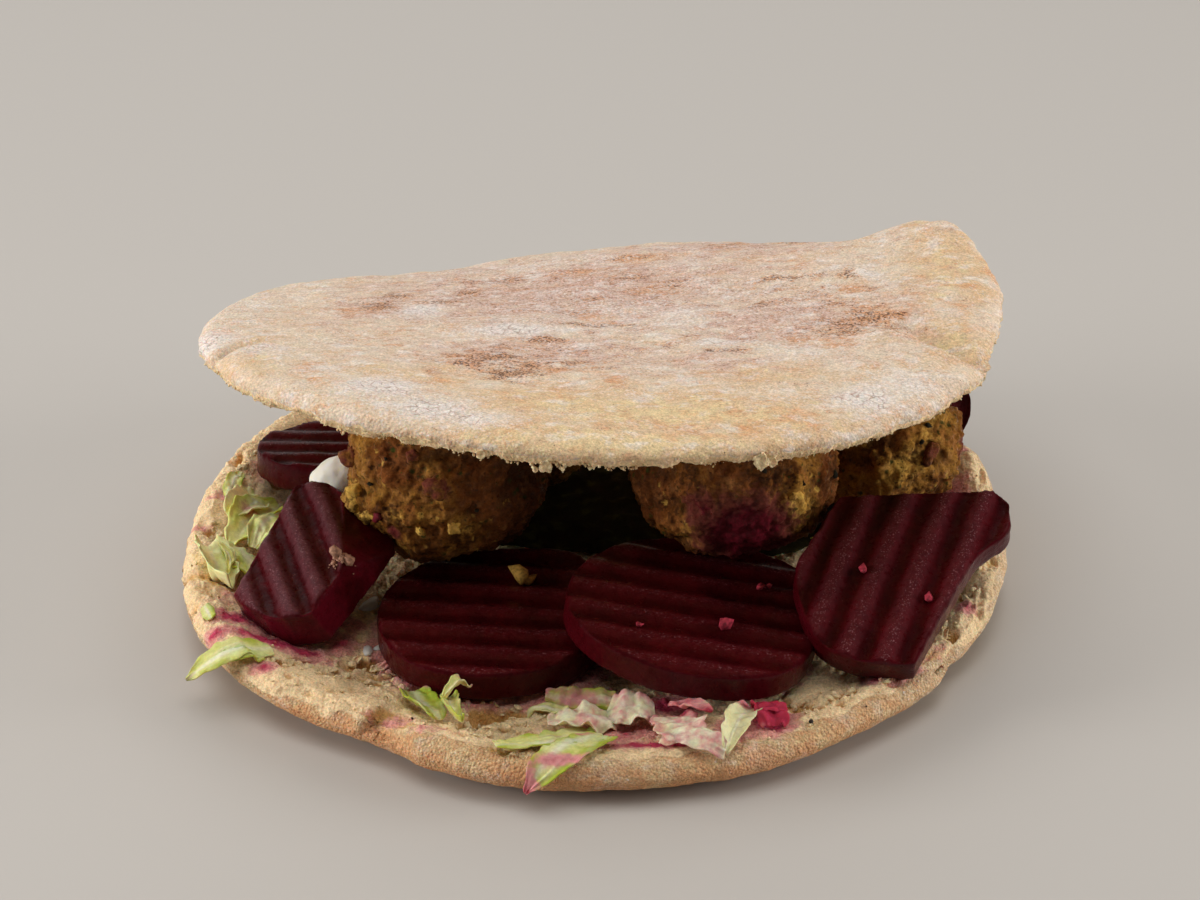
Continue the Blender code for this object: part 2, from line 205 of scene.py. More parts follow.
def thin_out(piece, group, ratio):
    """Fewer faces where the vertex group is, as on an underside that nobody sees closely."""
    fewer = piece.modifiers.new("fewer", "DECIMATE")
    fewer.ratio = ratio
    fewer.vertex_group = group
    apply_modifiers(piece)


# %% Read points, fade between values
def points(piece):
    """The vertices' places, one row each."""
    found = np.empty(len(piece.data.vertices) * 3, np.float32)
    piece.data.vertices.foreach_get("co", found)
    return found.reshape(-1, 3).astype(float)


def set_points(piece, places):
    piece.data.vertices.foreach_set("co", np.asarray(places, np.float32).ravel())
    piece.data.update()


def lift_to_table(piece):
    """Nothing sinks below the table."""
    places = points(piece)
    places[:, 2] = np.maximum(places[:, 2], 0)
    set_points(piece, places)


def normals(piece):
    """The vertices' normals, one row each."""
    found = np.empty(len(piece.data.vertices) * 3, np.float32)
    piece.data.vertex_normals.foreach_get("vector", found)
    return found.reshape(-1, 3).astype(float)


def tree_of(piece):
    """A search tree over a finished piece's faces."""
    return BVHTree.FromObject(piece, bpy.context.evaluated_depsgraph_get())


def fade(low, high, value):
    """0 below low, 1 above high, eased in between. It runs backwards where high is below low."""
    share = np.clip((value - low) / (high - low), 0, 1)
    return share * share * (3 - 2 * share)


def patches(places, grain, seed):
    """Soft random patches of about this size, 0 to 1, at each place."""
    shift = Vector((seed, 2.7 * seed, -seed))
    return np.array([0.5 + 0.5 * noise.noise(Vector(place) / grain + shift) for place in places])


# %% Weights, painted values and relief
def weigh(piece, name, weights):
    """A vertex group from one weight per vertex."""
    group = piece.vertex_groups.new(name=name)
    for index in np.nonzero(weights > 0.01)[0]:
        group.add([int(index)], float(min(weights[index], 1)), "REPLACE")


def paint(piece, name, values):
    """A painted value that the piece's material reads by name."""
    layer = piece.data.attributes.new(name, "FLOAT", "POINT")
    layer.data.foreach_set("value", np.asarray(values, np.float32))


def relief(piece, kind, grain, depth, group="", middle=0.5, **settings):
    """Pushes the surface in and out by a procedural texture with grains of this size."""
    texture = bpy.data.textures.new(f"{piece.name}_{kind}", kind)
    texture.noise_scale = grain
    for setting, value in settings.items():
        setattr(texture, setting, value)
    push = piece.modifiers.new("relief", "DISPLACE")
    push.texture = texture
    push.strength = depth
    push.mid_level = middle
    push.vertex_group = group
    apply_modifiers(piece)


# %% Join pieces
def joined(name, parts):
    """Several pieces as one."""
    bpy.ops.object.select_all(action="DESELECT")
    for part in parts:
        part.select_set(True)
    bpy.context.view_layer.objects.active = parts[0]
    if len(parts) > 1:
        bpy.ops.object.join()
    parts[0].name = name
    return parts[0]


# %% Put a finished piece in its place
def hand_over(piece, look, slot, *stands_for):
    """Gives a finished piece its material, shades it smooth and lets it ride on the pita."""
    piece.data.materials.clear()
    piece.data.materials.append(look)
    piece.vertex_groups.clear()
    only(piece)
    bpy.ops.object.shade_smooth()
    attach(piece, "root")
    if stands_for:
        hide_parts(*stands_for)
    print(f"{piece.name}: {len(piece.data.polygons)} faces")

# %% [markdown]
# ## Painting with nodes
# All the materials are built from a few kinds of node: grains of noise, a ramp that turns them into a mask,
# and a mix that lays one colour over another. They read Object coordinates, which on these pieces are real
# metres, so a grain of 2 mm is written as 2 mm. A small class keeps a node tree and adds to it, so that a
# recipe for a surface reads like a list of its layers.

# %% A sheet of nodes
class NodeSheet:
    """A node tree under construction: adds nodes and links them as they are asked for."""

    def __init__(self, tree):
        self.tree = tree
        self.where = self.node("ShaderNodeTexCoord").outputs["Object"]

    def node(self, kind, **settings):
        made = self.tree.nodes.new(kind)
        for setting, value in settings.items():
            setattr(made, setting, value)
        return made

    def feed(self, socket, value):
        """Links an output to a socket, or sets a plain value on it."""
        if isinstance(value, bpy.types.NodeSocket):
            self.tree.links.new(value, socket)
        elif socket.type == "RGBA":
            socket.default_value = (*value, 1)
        else:
            socket.default_value = value

    def add(self, kind, output, wanted, **settings):
        """Adds a node, feeds its inputs by name or number, and returns one of its outputs."""
        made = self.node(kind, **settings)
        for socket, value in wanted.items():
            self.feed(made.inputs[socket], value)
        return made.outputs[output]

    def maths(self, operation, first, second):
        return self.add("ShaderNodeMath", "Value", {0: first, 1: second}, operation=operation)

    def times(self, first, second):
        return self.maths("MULTIPLY", first, second)

    def plus(self, first, second):
        return self.maths("ADD", first, second)

    def swing(self, value, strength):
        """A value's rise above or fall below a half, times this strength."""
        return self.times(self.plus(value, -0.5), strength)

    def rest(self, value):
        """What is left up to 1."""
        return self.plus(1.0, self.times(value, -1.0))

    def mask(self, value, low, high):
        """0 below low and 1 above high, or the other way round where high is below low."""
        first, last = (0.0, 1.0) if low < high else (1.0, 0.0)
        ends = {"From Min": min(low, high), "From Max": max(low, high), "To Min": first, "To Max": last}
        return self.add("ShaderNodeMapRange", "Result", {"Value": value, **ends},
                        interpolation_type="SMOOTHSTEP")

    def layer(self, under, over, mask, strength=None):
        """Lays one colour over another where the mask is, at this strength if given."""
        if strength is not None:
            mask = self.times(mask, strength)
        return self.add("ShaderNodeMix", 2, {0: mask, 6: under, 7: over}, data_type="RGBA")

    def in_grains(self, size, shift=0.0):
        """Object coordinates counted in grains of this size, which may itself be a socket."""
        moved = shift if isinstance(shift, bpy.types.NodeSocket) else (shift,) * 3
        wanted = {0: self.where, 1: self.maths("DIVIDE", 1.0, size), 2: moved}
        return self.add("ShaderNodeVectorMath", "Vector", wanted, operation="MULTIPLY_ADD")

    def noise(self, vector, detail, roughness):
        wanted = {"Vector": vector, "Scale": 1.0, "Detail": detail, "Roughness": roughness}
        return self.add("ShaderNodeTexNoise", "Fac", wanted)


# %% [markdown]
# ## Effects that several materials share
# Bread, falafel, lettuce and crumbs have some things in common: they are grainy, they are sprinkled with
# finer stuff such as flour or burnt specks, their tone is never even, and beetroot juice stains them. Each
# of these effects is a node group, built once. A material places it with its own sizes and colours, and if
# an effect is improved later, every material improves with it.

# %% A shared effect
class Effect(NodeSheet):
    """A shader node group with named inputs, whose first output is the effect."""

    def __init__(self, name, output, **inputs):
        tree = bpy.data.node_groups.new(name, "ShaderNodeTree")
        for label, value in inputs.items():
            kind = "NodeSocketColor" if isinstance(value, tuple) else "NodeSocketFloat"
            socket = tree.interface.new_socket(label, in_out="INPUT", socket_type=kind)
            socket.default_value = (*value, 1) if isinstance(value, tuple) else value
        kind = "NodeSocketColor" if output == "Colour" else "NodeSocketFloat"
        tree.interface.new_socket(output, in_out="OUTPUT", socket_type=kind)
        super().__init__(tree)
        self.inputs = self.node("NodeGroupInput").outputs
        self.result = self.node("NodeGroupOutput").inputs[0]


# %% Grain, granules, tone and stain
def build_grain():
    """Uneven patches of one size, the base of nearly every layer."""
    effect = Effect("grain", "Value", Size=1.0, Detail=2.0, Roughness=0.5, Stretch=1.0, Shift=0.0)
    narrow = effect.maths("DIVIDE", 1.0, effect.inputs["Stretch"])
    wide = effect.add("ShaderNodeCombineXYZ", 0, {0: narrow, 1: 1.0, 2: 1.0})
    grains = effect.in_grains(effect.inputs["Size"], effect.inputs["Shift"])
    stretched = effect.add("ShaderNodeVectorMath", 0, {0: grains, 1: wide}, operation="MULTIPLY")
    effect.feed(effect.result, effect.noise(stretched, effect.inputs["Detail"], effect.inputs["Roughness"]))


def build_granules():
    """Small separate grains. The amount says how much of the surface they cover."""
    effect = Effect("granules", "Mask", Amount=0.5, Size=1.0, Shift=0.0)
    spread = effect.noise(effect.in_grains(effect.inputs["Size"], effect.inputs["Shift"]), 1.5, 0.6)
    covered = effect.plus(spread, effect.times(effect.inputs["Amount"], 0.5))
    effect.feed(effect.result, effect.mask(covered, 0.70, 0.84))


def build_uneven_tone():
    """Lighter and darker spots of one size over a colour."""
    effect = Effect("uneven_tone", "Colour", Colour=(1.0, 1.0, 1.0), Size=1.0, Depth=0.2, Shift=0.0)
    spots = effect.noise(effect.in_grains(effect.inputs["Size"], effect.inputs["Shift"]), 2.0, 0.7)
    swing = effect.swing(effect.mask(spots, 0.30, 0.70), effect.inputs["Depth"])
    tone = effect.plus(1.0, effect.times(swing, 2.0))
    wanted = {0: effect.inputs["Colour"], "Scale": tone}
    effect.feed(effect.result, effect.add("ShaderNodeVectorMath", 0, wanted, operation="SCALE"))


def build_juice_stain():
    """Beetroot juice soaks in: pink where there is a little, magenta where there is much."""
    effect = Effect("juice_stain", "Colour", Colour=(1.0, 1.0, 1.0), Juice=0.0, Size=1.0,
                    Pink=(1.0, 0.5, 0.5),
                    Magenta=(0.5, 0.0, 0.1))
    uneven = effect.noise(effect.in_grains(effect.inputs["Size"]), 3.0, 0.6)
    soaked = effect.plus(effect.inputs["Juice"], effect.swing(uneven, 0.9))
    stained = effect.layer(effect.inputs["Colour"], effect.inputs["Pink"], effect.mask(soaked, 0.12, 0.50))
    stained = effect.layer(stained, effect.inputs["Magenta"], effect.mask(soaked, 0.50, 0.95))
    effect.feed(effect.result, stained)


for build in (build_grain, build_granules, build_uneven_tone, build_juice_stain):
    build()
print("effects:", ", ".join(sorted(group.name for group in bpy.data.node_groups)))


# %% A paint box for one material
class PaintBox(NodeSheet):
    """One material: its layers are added in order, and finish links the last ones to the shader."""

    def __init__(self, name):
        self.material = bpy.data.materials.new(name)
        self.material.use_nodes = True
        super().__init__(self.material.node_tree)
        self.shader = self.tree.nodes["Principled BSDF"]

    def effect(self, name, **values):
        """Places a shared effect with this material's own values."""
        return self.add("ShaderNodeGroup", 0, values, node_tree=bpy.data.node_groups[name])

    def grain(self, size, detail=2.0, roughness=0.5, stretch=1.0, shift=0.0):
        values = {"Detail": detail, "Roughness": roughness, "Stretch": stretch}
        return self.effect("grain", Size=size, Shift=shift, **values)

    def granules(self, amount, size, shift=0.0):
        return self.effect("granules", Amount=amount, Size=size, Shift=shift)

    def stained(self, colour, size, pink, magenta):
        """The colour with the piece's painted juice on it."""
        juice_here = self.painted("juice")
        tones = {"Pink": pink, "Magenta": magenta}
        return self.effect("juice_stain", Colour=colour, Juice=juice_here, Size=size, **tones)

    def uneven(self, colour, size, depth, shift):
        return self.effect("uneven_tone", Colour=colour, Size=size, Depth=depth, Shift=shift)

    def cells(self, size, feature="F1", shift=0.0):
        """Cell noise: the distance to the nearest of many points, or to the nearest cell wall."""
        wanted = {"Vector": self.in_grains(size, shift), "Scale": 1.0}
        return self.add("ShaderNodeTexVoronoi", "Distance", wanted, feature=feature)

    def painted(self, name):
        """A value painted on the piece's points."""
        return self.node("ShaderNodeAttribute", attribute_name=name).outputs["Fac"]

    def bump(self, height, depth, under=None):
        """A bump of this real depth, on top of another one if given."""
        below = {} if under is None else {"Normal": under}
        return self.add("ShaderNodeBump", "Normal", {"Distance": depth, "Height": height, **below})

    def finish(self, colour, roughness, normal, **constants):
        """Links the last layers to the shader and returns the material."""
        self.feed(self.shader.inputs["Base Color"], colour)
        self.feed(self.shader.inputs["Roughness"], roughness)
        self.feed(self.shader.inputs["Normal"], normal)
        for name, value in constants.items():
            self.shader.inputs[name.replace("_", " ")].default_value = value
        return self.material


# %% [markdown]
# ## The rim of the lower bread
# Many things lie on the lower half of the bread, so the lesson first reads its rim from the plain solid: how
# far out and how high the crest is in each direction. Later a leaf that runs over the rim, or the line where
# torn crumb turns into crust, is worked out from these rings instead of being guessed.

# %% Read the rim
RIM_SECTORS = 90


def read_rim():
    """For each sector of the round: the outer radius, and the radius and the height of the crest."""
    solid = points(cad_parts["pita_bottom"])
    sector = np.floor((np.arctan2(solid[:, 1], solid[:, 0]) + math.pi) / (2 * math.pi) * RIM_SECTORS)
    radius = np.hypot(solid[:, 0], solid[:, 1])
    rows = []
    for number in range(RIM_SECTORS):
        near = (sector - number + RIM_SECTORS // 2) % RIM_SECTORS - RIM_SECTORS // 2
        here = np.abs(near) <= 2
        top = np.argmax(np.where(here, solid[:, 2], 0))
        rows.append((radius[here].max(), radius[top], solid[top, 2]))
    return np.array(rows)


RIM = read_rim()


def rim_at(places):
    """Outer radius, crest radius and crest height of the rim in the direction of each place."""
    turn = (np.arctan2(places[:, 1], places[:, 0]) + math.pi) / (2 * math.pi) * RIM_SECTORS - 0.5
    low = np.floor(turn).astype(int)
    share = (turn - low)[:, None]
    return RIM[low % RIM_SECTORS] * (1 - share) + RIM[(low + 1) % RIM_SECTORS] * share


print("rim: radius", RIM[:, 0].min().round(4), "to", RIM[:, 0].max().round(4), "m")

# %% [markdown]
# ## Beetroot juice
# The slices stain whatever they touch. How strong the stain is follows from the distance to the nearest
# plain slice, so the pink spots on bread, falafel and lettuce sit where juice can really reach. The
# distance is looked up in a search tree that holds all the slices at once.

# %% Where the juice reaches
SLICES = [name for name in sorted(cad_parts) if name.startswith("beet_")]


def search_tree(names):
    """One search tree over the faces of several plain solids."""
    corners, faces = [], []
    for name in names:
        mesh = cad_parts[name].data
        faces += [[index + len(corners) for index in face.vertices] for face in mesh.polygons]
        corners += [vertex.co.copy() for vertex in mesh.vertices]
    return BVHTree.FromPolygons(corners, faces)


SLICE_TREE = search_tree(SLICES)


def juice(places, reach):
    """1 at a slice, fading to 0 at this reach from it."""
    far = [SLICE_TREE.find_nearest(Vector(place), 2 * reach)[3] for place in places]
    away = np.array([2 * reach if distance is None else distance for distance in far])
    return 1 - fade(0.0, reach, away)


print("slices:", ", ".join(SLICES))

# %% [markdown]
# ## The upper bread
# A pita is baked very hot and fast: the dough puffs up, the crust stays thin and pale, and only the highest
# spots scorch. Flour from the bench stays on it, thickest towards the edge, and cracks as the bread swells.
# The shape is a rebuilt copy of the plain solid with soft dents, and the finish does the rest: a cream crust
# under flour, a wide pink-brown bake in the middle, and a few scorched streaks.

# %% Shape the upper bread
UPPER_CELL = 0.78 * MM


def dented(piece, deep, fine):
    """Soft dents a thumb wide and smaller lumps, as baked dough has."""
    relief(piece, "CLOUDS", 14 * MM, deep)
    relief(piece, "CLOUDS", 4 * MM, fine, noise_depth=2)


def fold(piece, route, depth, width, sharp=0.5, push=None):
    """A step along a route seen from above: the bread drops left of it and rises again within the width."""
    places = points(piece)
    push = normals(piece) if push is None else push
    nearest = np.full(len(places), 1.0)
    left_of, along_at = np.zeros(len(places)), np.zeros(len(places))
    for number, (start, end) in enumerate(zip(route[:-1], route[1:])):
        start, end = np.array(start) * MM, np.array(end) * MM
        run = end - start
        share = np.clip((places[:, :2] - start) @ run / (run @ run), 0, 1)
        apart = places[:, :2] - start - share[:, None] * run
        distance = np.hypot(apart[:, 0], apart[:, 1])
        closer = distance < nearest
        nearest = np.where(closer, distance, nearest)
        left_of = np.where(closer, np.sign(run[0] * apart[:, 1] - run[1] * apart[:, 0]), left_of)
        along_at = np.where(closer, (number + share) / (len(route) - 1), along_at)
    side = nearest * left_of / MM
    step = fade(-sharp, sharp, side) * np.exp(-np.square(side / width)) * fade(0, 0.35, along_at)
    step *= push[:, 2] > -0.2
    set_points(piece, places - push * (step * depth * MM)[:, None])


upper = working_copy("pita_top", "upper_bread")
remesh(upper, UPPER_CELL, 12)
up = normals(upper)
weigh(upper, "inside", fade(-0.1, -0.6, up[:, 2]))
dented(upper, 1.6 * MM, 0.5 * MM)
relief(upper, "VORONOI", 3.0 * MM, 1.4 * MM, "inside")
relief(upper, "CLOUDS", 1.5 * MM, 0.8 * MM, "inside", noise_depth=3)
weigh(upper, "lip", fade(-0.9, -0.4, up[:, 2]) * fade(0.5, 0.0, up[:, 2]))
relief(upper, "CLOUDS", 1.6 * MM, 0.9 * MM, "lip", noise_depth=2)
fold(upper, [(49, 1), (53, -5), (57, -10), (61, -15), (69, -18)], 3.4, 6.0, sharp=0.35)
fold(upper, [(-56, -8), (-60, -10), (-62, -12), (-64, -15)], 1.4, 2.0, sharp=0.3)
print("upper bread:", len(upper.data.vertices), "points")

# %% [markdown]
# ### Where it is baked, scorched and floured
# Each patch is an oval on the bread, seen from above: a place, a half length, a half width and a strength.
# The ovals are painted on the points, and the material breaks up their edges with noise.

# %% Paint the upper bread
# x, y, half length, half width, all in mm, and a strength
BAKED = [
    (-4, 22, 46, 28, 1.0), (-10, -14, 28, 14, 0.9), (34, 2, 26, 18, 0.9), (-38, 14, 13, 12, 0.9),
    (16, -18, 24, 9, 0.7), (24, 44, 36, 14, 0.8), (-18, 38, 26, 14, 0.7), (-47, 4, 10, 8, 0.5),
]
SCORCHED = [
    (-17, -17, 10, 5, 0.75), (-13, -25, 6, 4.5, 0.95), (-4, -20, 8, 4, 0.75), (-22, -21, 4, 2.4, 0.7),
    (-8.5, -6.5, 5, 1.5, 1.1), (1, 1.6, 8, 1.4, 1.0), (-2, 9.5, 2.4, 1.2, 0.8), (-39, 15, 4.2, 4.2, 0.95),
    (-28, 17.6, 4.6, 1.2, 1.0), (-36, 22.5, 5, 3, 0.65), (-22, 24, 3.4, 2, 0.6), (6, 27.5, 5, 1.8, 0.75),
    (15, 23, 6, 3, 0.5), (34, 22.5, 6, 2, 0.8), (29, 10, 4, 2, 0.7), (23, -13.2, 4.4, 1.0, 0.9),
    (43, -4.5, 7, 3.4, 0.85), (49, 2, 5.5, 5.5, 0.75), (51, -5, 4.4, 3.4, 0.7), (46, 20.5, 4, 2.4, 0.7),
    (24, 47, 4, 3, 0.6), (37, 46, 3, 4, 0.7), (8, 41, 6, 2, 0.6), (-1, 15, 24, 5, 0.35),
    (12, -9, 22, 5, 0.32), (37, 12, 13, 9, 0.38), (-9, -12, 18, 4, 0.45), (-14, 32, 16, 6, 0.35),
    (-13, -20, 15, 6.5, 0.62), (43, -3, 9, 6, 0.60), (44, 8, 7, 6, 0.45),
]
FLOURED = [
    (-35, -36, 8, 6.5, 1.0), (-26, -44, 9, 6.5, 0.95), (-18, -48, 8, 5, 0.75), (45, -34, 7, 6, 0.9),
    (53, -28, 6, 5, 0.7), (-13, -1, 9, 4, 1.0), (-30, 12, 4, 6, 0.95), (22, -9, 7, 2.4, 0.8),
    (50, 21, 4, 3.5, 0.8), (8, -36, 9, 3, 0.45), (-66, -6, 6, 9, 0.9), (-56, -16, 7, 6, 0.75),
    (-50, -10, 8, 6, 0.45), (-46, -26, 6, 4, 0.6), (59, -12, 4, 3, 0.7), (30, -36, 6, 3, 0.4),
    (-4, -44, 8, 3, 0.45), (-6, -1.5, 6, 2.4, 0.7), (16, 33, 8, 4, 0.5), (-62, 20, 8, 12, 0.4),
    (55, 36, 9, 8, 0.35), (10, 8, 34, 16, 0.38), (-8, 40, 30, 10, 0.35), (34, -14, 12, 5, 0.5),
]
TANNED = [
    (50, 4, 6, 5, 0.6), (37, -9, 6, 3, 0.6), (47, -8, 5, 2.4, 0.6), (-20, -14, 5, 2, 0.5),
    (18, -24, 4, 2, 0.6), (-33, -12, 4, 2, 0.5), (12, 20, 8, 3, 0.6), (30, 34, 6, 3, 0.6),
    (-2, 33, 6, 3, 0.6), (26, -46, 4, 3, 0.6), (-48, -27, 4, 6, 0.8), (-45, -34, 5, 5, 0.6),
    (-24, -17, 3.4, 2.4, 0.7), (-6, -22.5, 6, 2.6, 0.7), (4, -28, 3, 2.6, 0.7), (0.5, 4.5, 3.4, 4, 0.95),
    (46, 14, 3, 4, 0.7), (42, -11, 6, 2.6, 0.6), (72, 22, 3, 4, 0.9), (67, 14, 4, 1.6, 0.8),
    (62, 5, 4, 2, 0.7), (57, 18, 4, 1.6, 0.6), (34, -43, 5, 4.5, 0.6), (8, 40, 7, 4, 0.8),
    (28, 50, 3, 6, 0.7), (-43, 12, 7, 4, 0.6), (-64, -2, 4, 8, 0.6), (-6, -35, 4, 4, 0.6),
    (12, -48, 9, 4, 0.5), (-16, -52, 6, 3, 0.45), (38, 30, 3, 4, 0.6), (-33, -4, 9, 4, 0.45),
    (-26, -30, 6, 3, 0.45), (9, 63, 9, 4, 0.6), (-12, 26, 12, 4, 0.35), (22, -40, 16, 6, 0.35),
]
GOLDEN = [
    (10, -42, 36, 10, 0.9), (8, -54, 44, 7, 0.9), (-30, -27, 16, 6, 0.5), (62, -8, 7, 9, 0.9),
    (64, 22, 9, 18, 0.7), (-56, -18, 8, 14, 0.6), (30, -26, 14, 6, 0.5), (58, 44, 10, 8, 0.6),
    (-10, -36, 14, 4, 0.6),
]


def ovals(places, wanted):
    """How strongly each point is covered by a list of ovals, as seen from above."""
    cover = np.zeros(len(places))
    for x, y, long, wide, strength in wanted:
        away = ((places[:, 0] / MM - x) / long) ** 2 + ((places[:, 1] / MM - y) / wide) ** 2
        cover = np.maximum(cover, strength * np.exp(-away))
    return cover


def blots(places, wanted):
    """How strongly each point is covered by a list of balls: x, y, z and radius in mm, and a strength."""
    cover = np.zeros(len(places))
    for *middle, radius, strength in wanted:
        away = np.linalg.norm(places / MM - np.array(middle), axis=1) / radius
        cover = np.maximum(cover, strength * np.exp(-(away**3)))
    return cover


STRENGTHS = {"tanned": 1.15, "golden": 1.2, "scorched": 1.3}
PATCHES = {"baked": BAKED, "scorched": SCORCHED, "floured": FLOURED, "tanned": TANNED, "golden": GOLDEN}
spots = points(upper)
outside = fade(-0.25, 0.05, normals(upper)[:, 2])
for mark, wanted in PATCHES.items():
    paint(upper, mark, STRENGTHS.get(mark, 1.0) * ovals(spots, wanted) * outside)
paint(upper, "crust", outside)
paint(upper, "juice", np.zeros(len(spots)))
print("painted:", ", ".join(PATCHES), "crust, juice")

# %% [markdown]
# ### The crust's finish
# The order of the layers is the order in which the real surface came about: dough, bake, scorch, then flour
# on top. Scorch and flour both lie in granules, so their painted strength only decides how many granules
# there are. The flour cracks where the bread swelled. Inside the bread there is no crust, so the finish
# turns to crumb there: cream on the walls, a darker gold in the pits as painted shade, pink where juice has
# soaked in.

# %% Bread colours
CREAM = (0.70, 0.565, 0.425)
WHEAT = (0.655, 0.435, 0.24)
BAKE = (0.585, 0.385, 0.31)
UMBER = (0.36, 0.19, 0.115)
SCORCH = (0.12, 0.058, 0.035)
AMBER = (0.64, 0.31, 0.14)
RUST = (0.30, 0.10, 0.05)
FLOUR = (0.80, 0.73, 0.68)
YELLOW_CREAM = (0.74, 0.575, 0.365)
SAND = (0.54, 0.345, 0.17)
STRAW = (0.745, 0.60, 0.33)
CRUMB = (0.83, 0.605, 0.35)
CRUMB_GOLD = (0.62, 0.33, 0.10)
CRUMB_PINK = (0.68, 0.30, 0.25)
CRUMB_MAGENTA = (0.50, 0.05, 0.10)


# %% Bread finish
def crust_layers(box, dough, flour, toast):
    """The colour of the crust, from the dough up, and the height of its grains."""
    mottle = box.grain(6 * MM, detail=4, roughness=0.66)
    streaks = box.grain(3.0 * MM, detail=6, roughness=0.72, stretch=1.7, shift=3.0)
    broken = box.swing(streaks, 2.8)
    wheat = box.plus(box.times(box.painted("golden"), 0.34), mottle)
    colour = box.layer(dough, WHEAT, box.mask(wheat, 0.42, 0.82), 0.8 + 0.2 * toast)
    uneven = box.swing(box.grain(3.4 * MM, detail=5, roughness=0.7, shift=13.0), 3.0)
    straw = box.plus(box.painted("golden"), uneven)
    colour = box.layer(colour, STRAW, box.mask(straw, 0.55, 1.20), 0.65)
    sand = box.granules(0.55 * toast, 0.42 * MM, 11.0)
    colour = box.layer(colour, SAND, sand, 0.75 * toast)
    baked = box.mask(box.plus(box.painted("baked"), box.times(broken, 0.9)), 0.05, 1.15)
    colour = box.layer(colour, BAKE, baked)
    amber = box.mask(box.plus(box.painted("tanned"), broken), 0.22, 1.10)
    colour = box.layer(colour, AMBER, amber, 0.85)
    blotches = box.mask(box.grain(2.6 * MM, detail=4, roughness=0.65, stretch=1.5, shift=21.0), 0.51, 0.68)
    colour = box.layer(colour, AMBER, blotches, 0.42)
    colour = box.layer(colour, UMBER, box.granules(box.times(baked, 0.36), 0.55 * MM, 2.0))
    burnt = box.mask(box.plus(box.painted("scorched"), broken), -0.10, 1.15)
    rust = box.granules(box.times(burnt, 0.75), 0.8 * MM, 6.0)
    colour = box.layer(colour, AMBER, rust, 0.65)
    colour = box.layer(colour, UMBER, burnt, 0.12)
    char = box.granules(box.times(burnt, 0.52), 0.45 * MM, 4.0)
    colour = box.layer(colour, SCORCH, char, 0.92)
    thread = box.grain(1.3 * MM, detail=3, roughness=0.6, stretch=2.6, shift=17.0)
    line = box.times(box.mask(thread, 0.62, 0.72), burnt)
    colour = box.layer(colour, RUST, line, 0.6)
    dust = box.plus(box.painted("floured"), box.swing(mottle, 1.4))
    colour = box.layer(colour, FLOUR, box.mask(dust, 0.20, 1.0), 0.85 * flour)
    spilt = box.mask(box.grain(3.2 * MM, detail=4, roughness=0.7, stretch=1.5, shift=25.0), 0.51, 0.68)
    colour = box.layer(colour, FLOUR, spilt, 0.75 * flour)
    thick = box.plus(box.plus(box.times(dust, 0.5), 0.30 * flour), box.times(box.painted("golden"), -0.16))
    grains = box.granules(thick, 0.6 * MM, 8.0)
    colour = box.layer(colour, FLOUR, grains, 0.55)
    # Painted shade: fine dark dots over the crust stand for the small shadows between the grains of flour.
    specks = box.granules(0.20, 0.5 * MM, 15.0)
    colour = box.layer(colour, UMBER, specks, 0.38)
    wander = box.swing(box.grain(0.8 * MM, detail=3, shift=27.0), 0.22)
    split = box.plus(box.cells(1.9 * MM, feature="DISTANCE_TO_EDGE", shift=0.4), wander)
    dusty = box.mask(box.plus(dust, box.times(streaks, 0.5)), 0.75, 1.10)
    crack = box.times(box.mask(split, 0.075, 0.0), dusty)
    colour = box.layer(colour, UMBER, crack, 0.55)
    return colour, box.plus(grains, box.times(crack, -1.5))


def bread_finish(name, dough, flour, toast):
    """Pita crust and crumb. More flour makes it whiter, more toast makes it browner."""
    box = PaintBox(name)
    crust_colour, dusting = crust_layers(box, dough, flour, toast)
    uneven = box.times(box.grain(1.8 * MM, detail=4, roughness=0.6, shift=1.0), 0.9)
    # Painted shade: the deeper a point lies in a pit of the crumb, the more it is painted a darker gold.
    thin = box.plus(box.painted("pit"), uneven)
    crumb_colour = box.layer(CRUMB, CRUMB_GOLD, box.mask(thin, 0.55, 1.30), 0.9)
    crust = box.mask(box.painted("crust"), 0.35, 0.65)
    colour = box.layer(crumb_colour, crust_colour, crust)
    colour = box.stained(colour, 2.0 * MM, CRUMB_PINK, CRUMB_MAGENTA)
    colour = box.uneven(colour, 0.40 * MM, 0.19, 7.0)
    colour = box.uneven(colour, 1.2 * MM, 0.08, 3.0)
    rough = box.bump(box.grain(0.9 * MM, detail=4, roughness=0.65), 0.24 * MM)
    rough = box.bump(dusting, 0.06 * MM, rough)
    rough = box.bump(box.times(box.cells(0.5 * MM), crust), -0.22 * MM * (0.3 + toast), rough)
    soft = box.grain(1.4 * MM, detail=4, roughness=0.7, shift=2.0)
    fluff = box.plus(box.cells(0.7 * MM, shift=5.0), soft)
    rough = box.bump(box.times(box.plus(fluff, -1.0), box.rest(crust)), 0.22 * MM, rough)
    rough = box.bump(box.grain(0.4 * MM, detail=2, roughness=0.6, shift=7.0), 0.10 * MM, rough)
    return box.finish(colour, 0.88, rough, Subsurface_Weight=0.20, Subsurface_Scale=0.0025,
                      Specular_IOR_Level=0.3)


upper_finish = bread_finish("floured_crust", CREAM, flour=0.75, toast=0.3)
hand_over(upper, upper_finish, "bread", "pita_top")

# %% [markdown]
# ## The lower bread
# When a pita is torn open, the crumb inside pulls apart: soft hollows with thin walls, small pits and ragged
# edges, creamy on the walls, with the pits painted a darker gold as painted shade. The outside is the same
# floured crust as on top, browner, since it lay on the hot stone, and painted browner still towards the
# front as painted shade. Cell noise makes the hollows, because the distance to the nearest of many points is
# low in the middle of a cell and high along its wall, as in foam. The pits are measured against the smooth
# shape afterwards, so that the material knows how deep each point lies and how much painted shade it gets.

# %% Shape the lower bread
LOWER_CELL = 0.51 * MM
